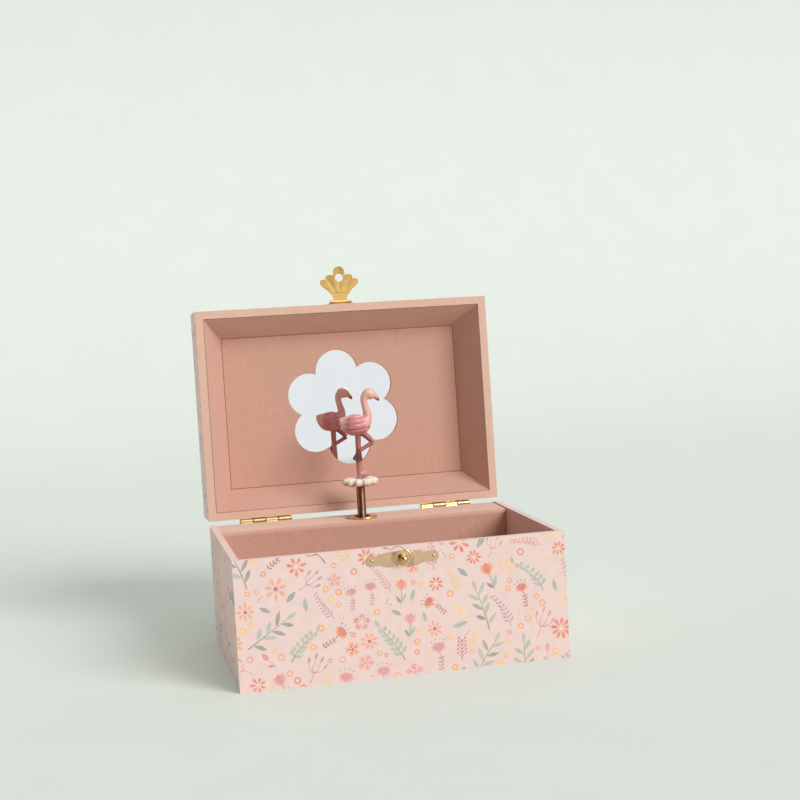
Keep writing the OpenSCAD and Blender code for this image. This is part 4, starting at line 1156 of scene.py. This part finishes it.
def make_camera():
    yaw, pitch, roll = (math.radians(a) for a in (CAMERA_YAW, CAMERA_PITCH, CAMERA_ROLL))
    ahead = Vector((math.sin(yaw) * math.cos(pitch), math.cos(yaw) * math.cos(pitch), -math.sin(pitch)))
    right = Vector((math.cos(yaw), -math.sin(yaw), 0))
    up = right.cross(ahead)
    right_rolled = right * math.cos(roll) + up * math.sin(roll)
    up_rolled = up * math.cos(roll) - right * math.sin(roll)
    data = bpy.data.cameras.new("camera")
    data.lens = CAMERA_LENS
    data.sensor_width = 36
    data.clip_start = 0.01
    camera = added("camera", data)
    turn = Matrix((right_rolled, up_rolled, -ahead)).transposed()
    camera.matrix_world = Matrix.Translation(Vector(CAMERA_AT) * MM) @ turn.to_4x4()
    bpy.context.scene.camera = camera


def sun_light(name, towards, strength, spread, colour=(1.0, 1.0, 1.0)):
    """Soft light from a wide, far source; towards is the direction that it shines in."""
    data = bpy.data.lights.new(name, "SUN")
    data.energy = strength
    data.color = colour
    data.angle = math.radians(spread)
    added(name, data).rotation_euler = Vector(towards).to_track_quat("-Z", "Y").to_euler()


def grey(level):
    return (level, level, level, 1.0)


def make_world(ambient, seen, backdrop, dark_side):
    """Even ambient light; the camera sees one colour, and metal a pale studio that is darker on the left."""
    world = bpy.data.worlds.new("studio")
    bpy.context.scene.world = world
    graph = Graph(world)
    path = graph.nodes.new("ShaderNodeLightPath").outputs
    place = graph.nodes.new("ShaderNodeTexCoord").outputs["Generated"]
    dark_until, pale_from = -0.05, 0.12
    rightness = graph.range(graph.axes(place)[0], 0.0, 1.0, dark_until, pale_from)
    studio = graph.mix(path["Is Camera Ray"], graph.mix(rightness, grey(dark_side), grey(backdrop)), seen)
    sharp = graph.maths("MAXIMUM", path["Is Camera Ray"], path["Is Glossy Ray"])
    sharp = graph.maths("MAXIMUM", sharp, path["Is Transmission Ray"])
    direct = graph.maths("LESS_THAN", path["Diffuse Depth"], 0.5)
    light = graph.mix(graph.maths("MULTIPLY", sharp, direct), grey(ambient), studio)
    graph.links.new(light, graph.nodes["Background"].inputs["Color"])


def make_room():
    """A pale floor that sweeps up into a backdrop."""
    half_width, front, back, sweep, top = 9000.0, -9000.0, 900.0, 900.0, 6000.0
    profile = [(front, 0.0), (back, 0.0)]
    for i in range(1, 13):
        angle = math.pi / 2 * i / 12
        profile.append((back + sweep * math.sin(angle), sweep * (1 - math.cos(angle))))
    profile.append((back + sweep, top))
    points = [(x, y, z) for y, z in profile for x in (-half_width, half_width)]
    faces = [(2 * i, 2 * i + 1, 2 * i + 3, 2 * i + 2) for i in range(len(profile) - 1)]
    shader = Shader("backdrop_paper", 0.8)
    pale = linear((218, 224, 217))
    shader.colour_by(shader.noise(60.0, 2.0), (0.3, shade(pale, 0.985)), (0.7, pale))
    piece_from("backdrop", points, faces, [shader.material])
    make_world(ambient=0.12, seen=linear((227, 233, 227)), backdrop=0.94, dark_side=0.1)
    sun_light("key", (-0.55, 0.78, -0.52), 2.6, 34)
    sun_light("top", (0.0, 0.1, -1.0), 0.9, 60)
    sun_light("side_fill", (1.0, 0.0, 0.06), 0.66, 24, colour=(0.97, 0.9, 1.2))
    bpy.context.scene.view_settings.view_transform = "Standard"


make_camera()
finish_nodes()
print_wrap("base_paper_wrap", "base_print", "root", SEED)
print_wrap("lid_paper_wrap", "lid_print", "lid", SEED + 1)
make_panel()
make_bird()
make_disc()
make_spring()
make_room()
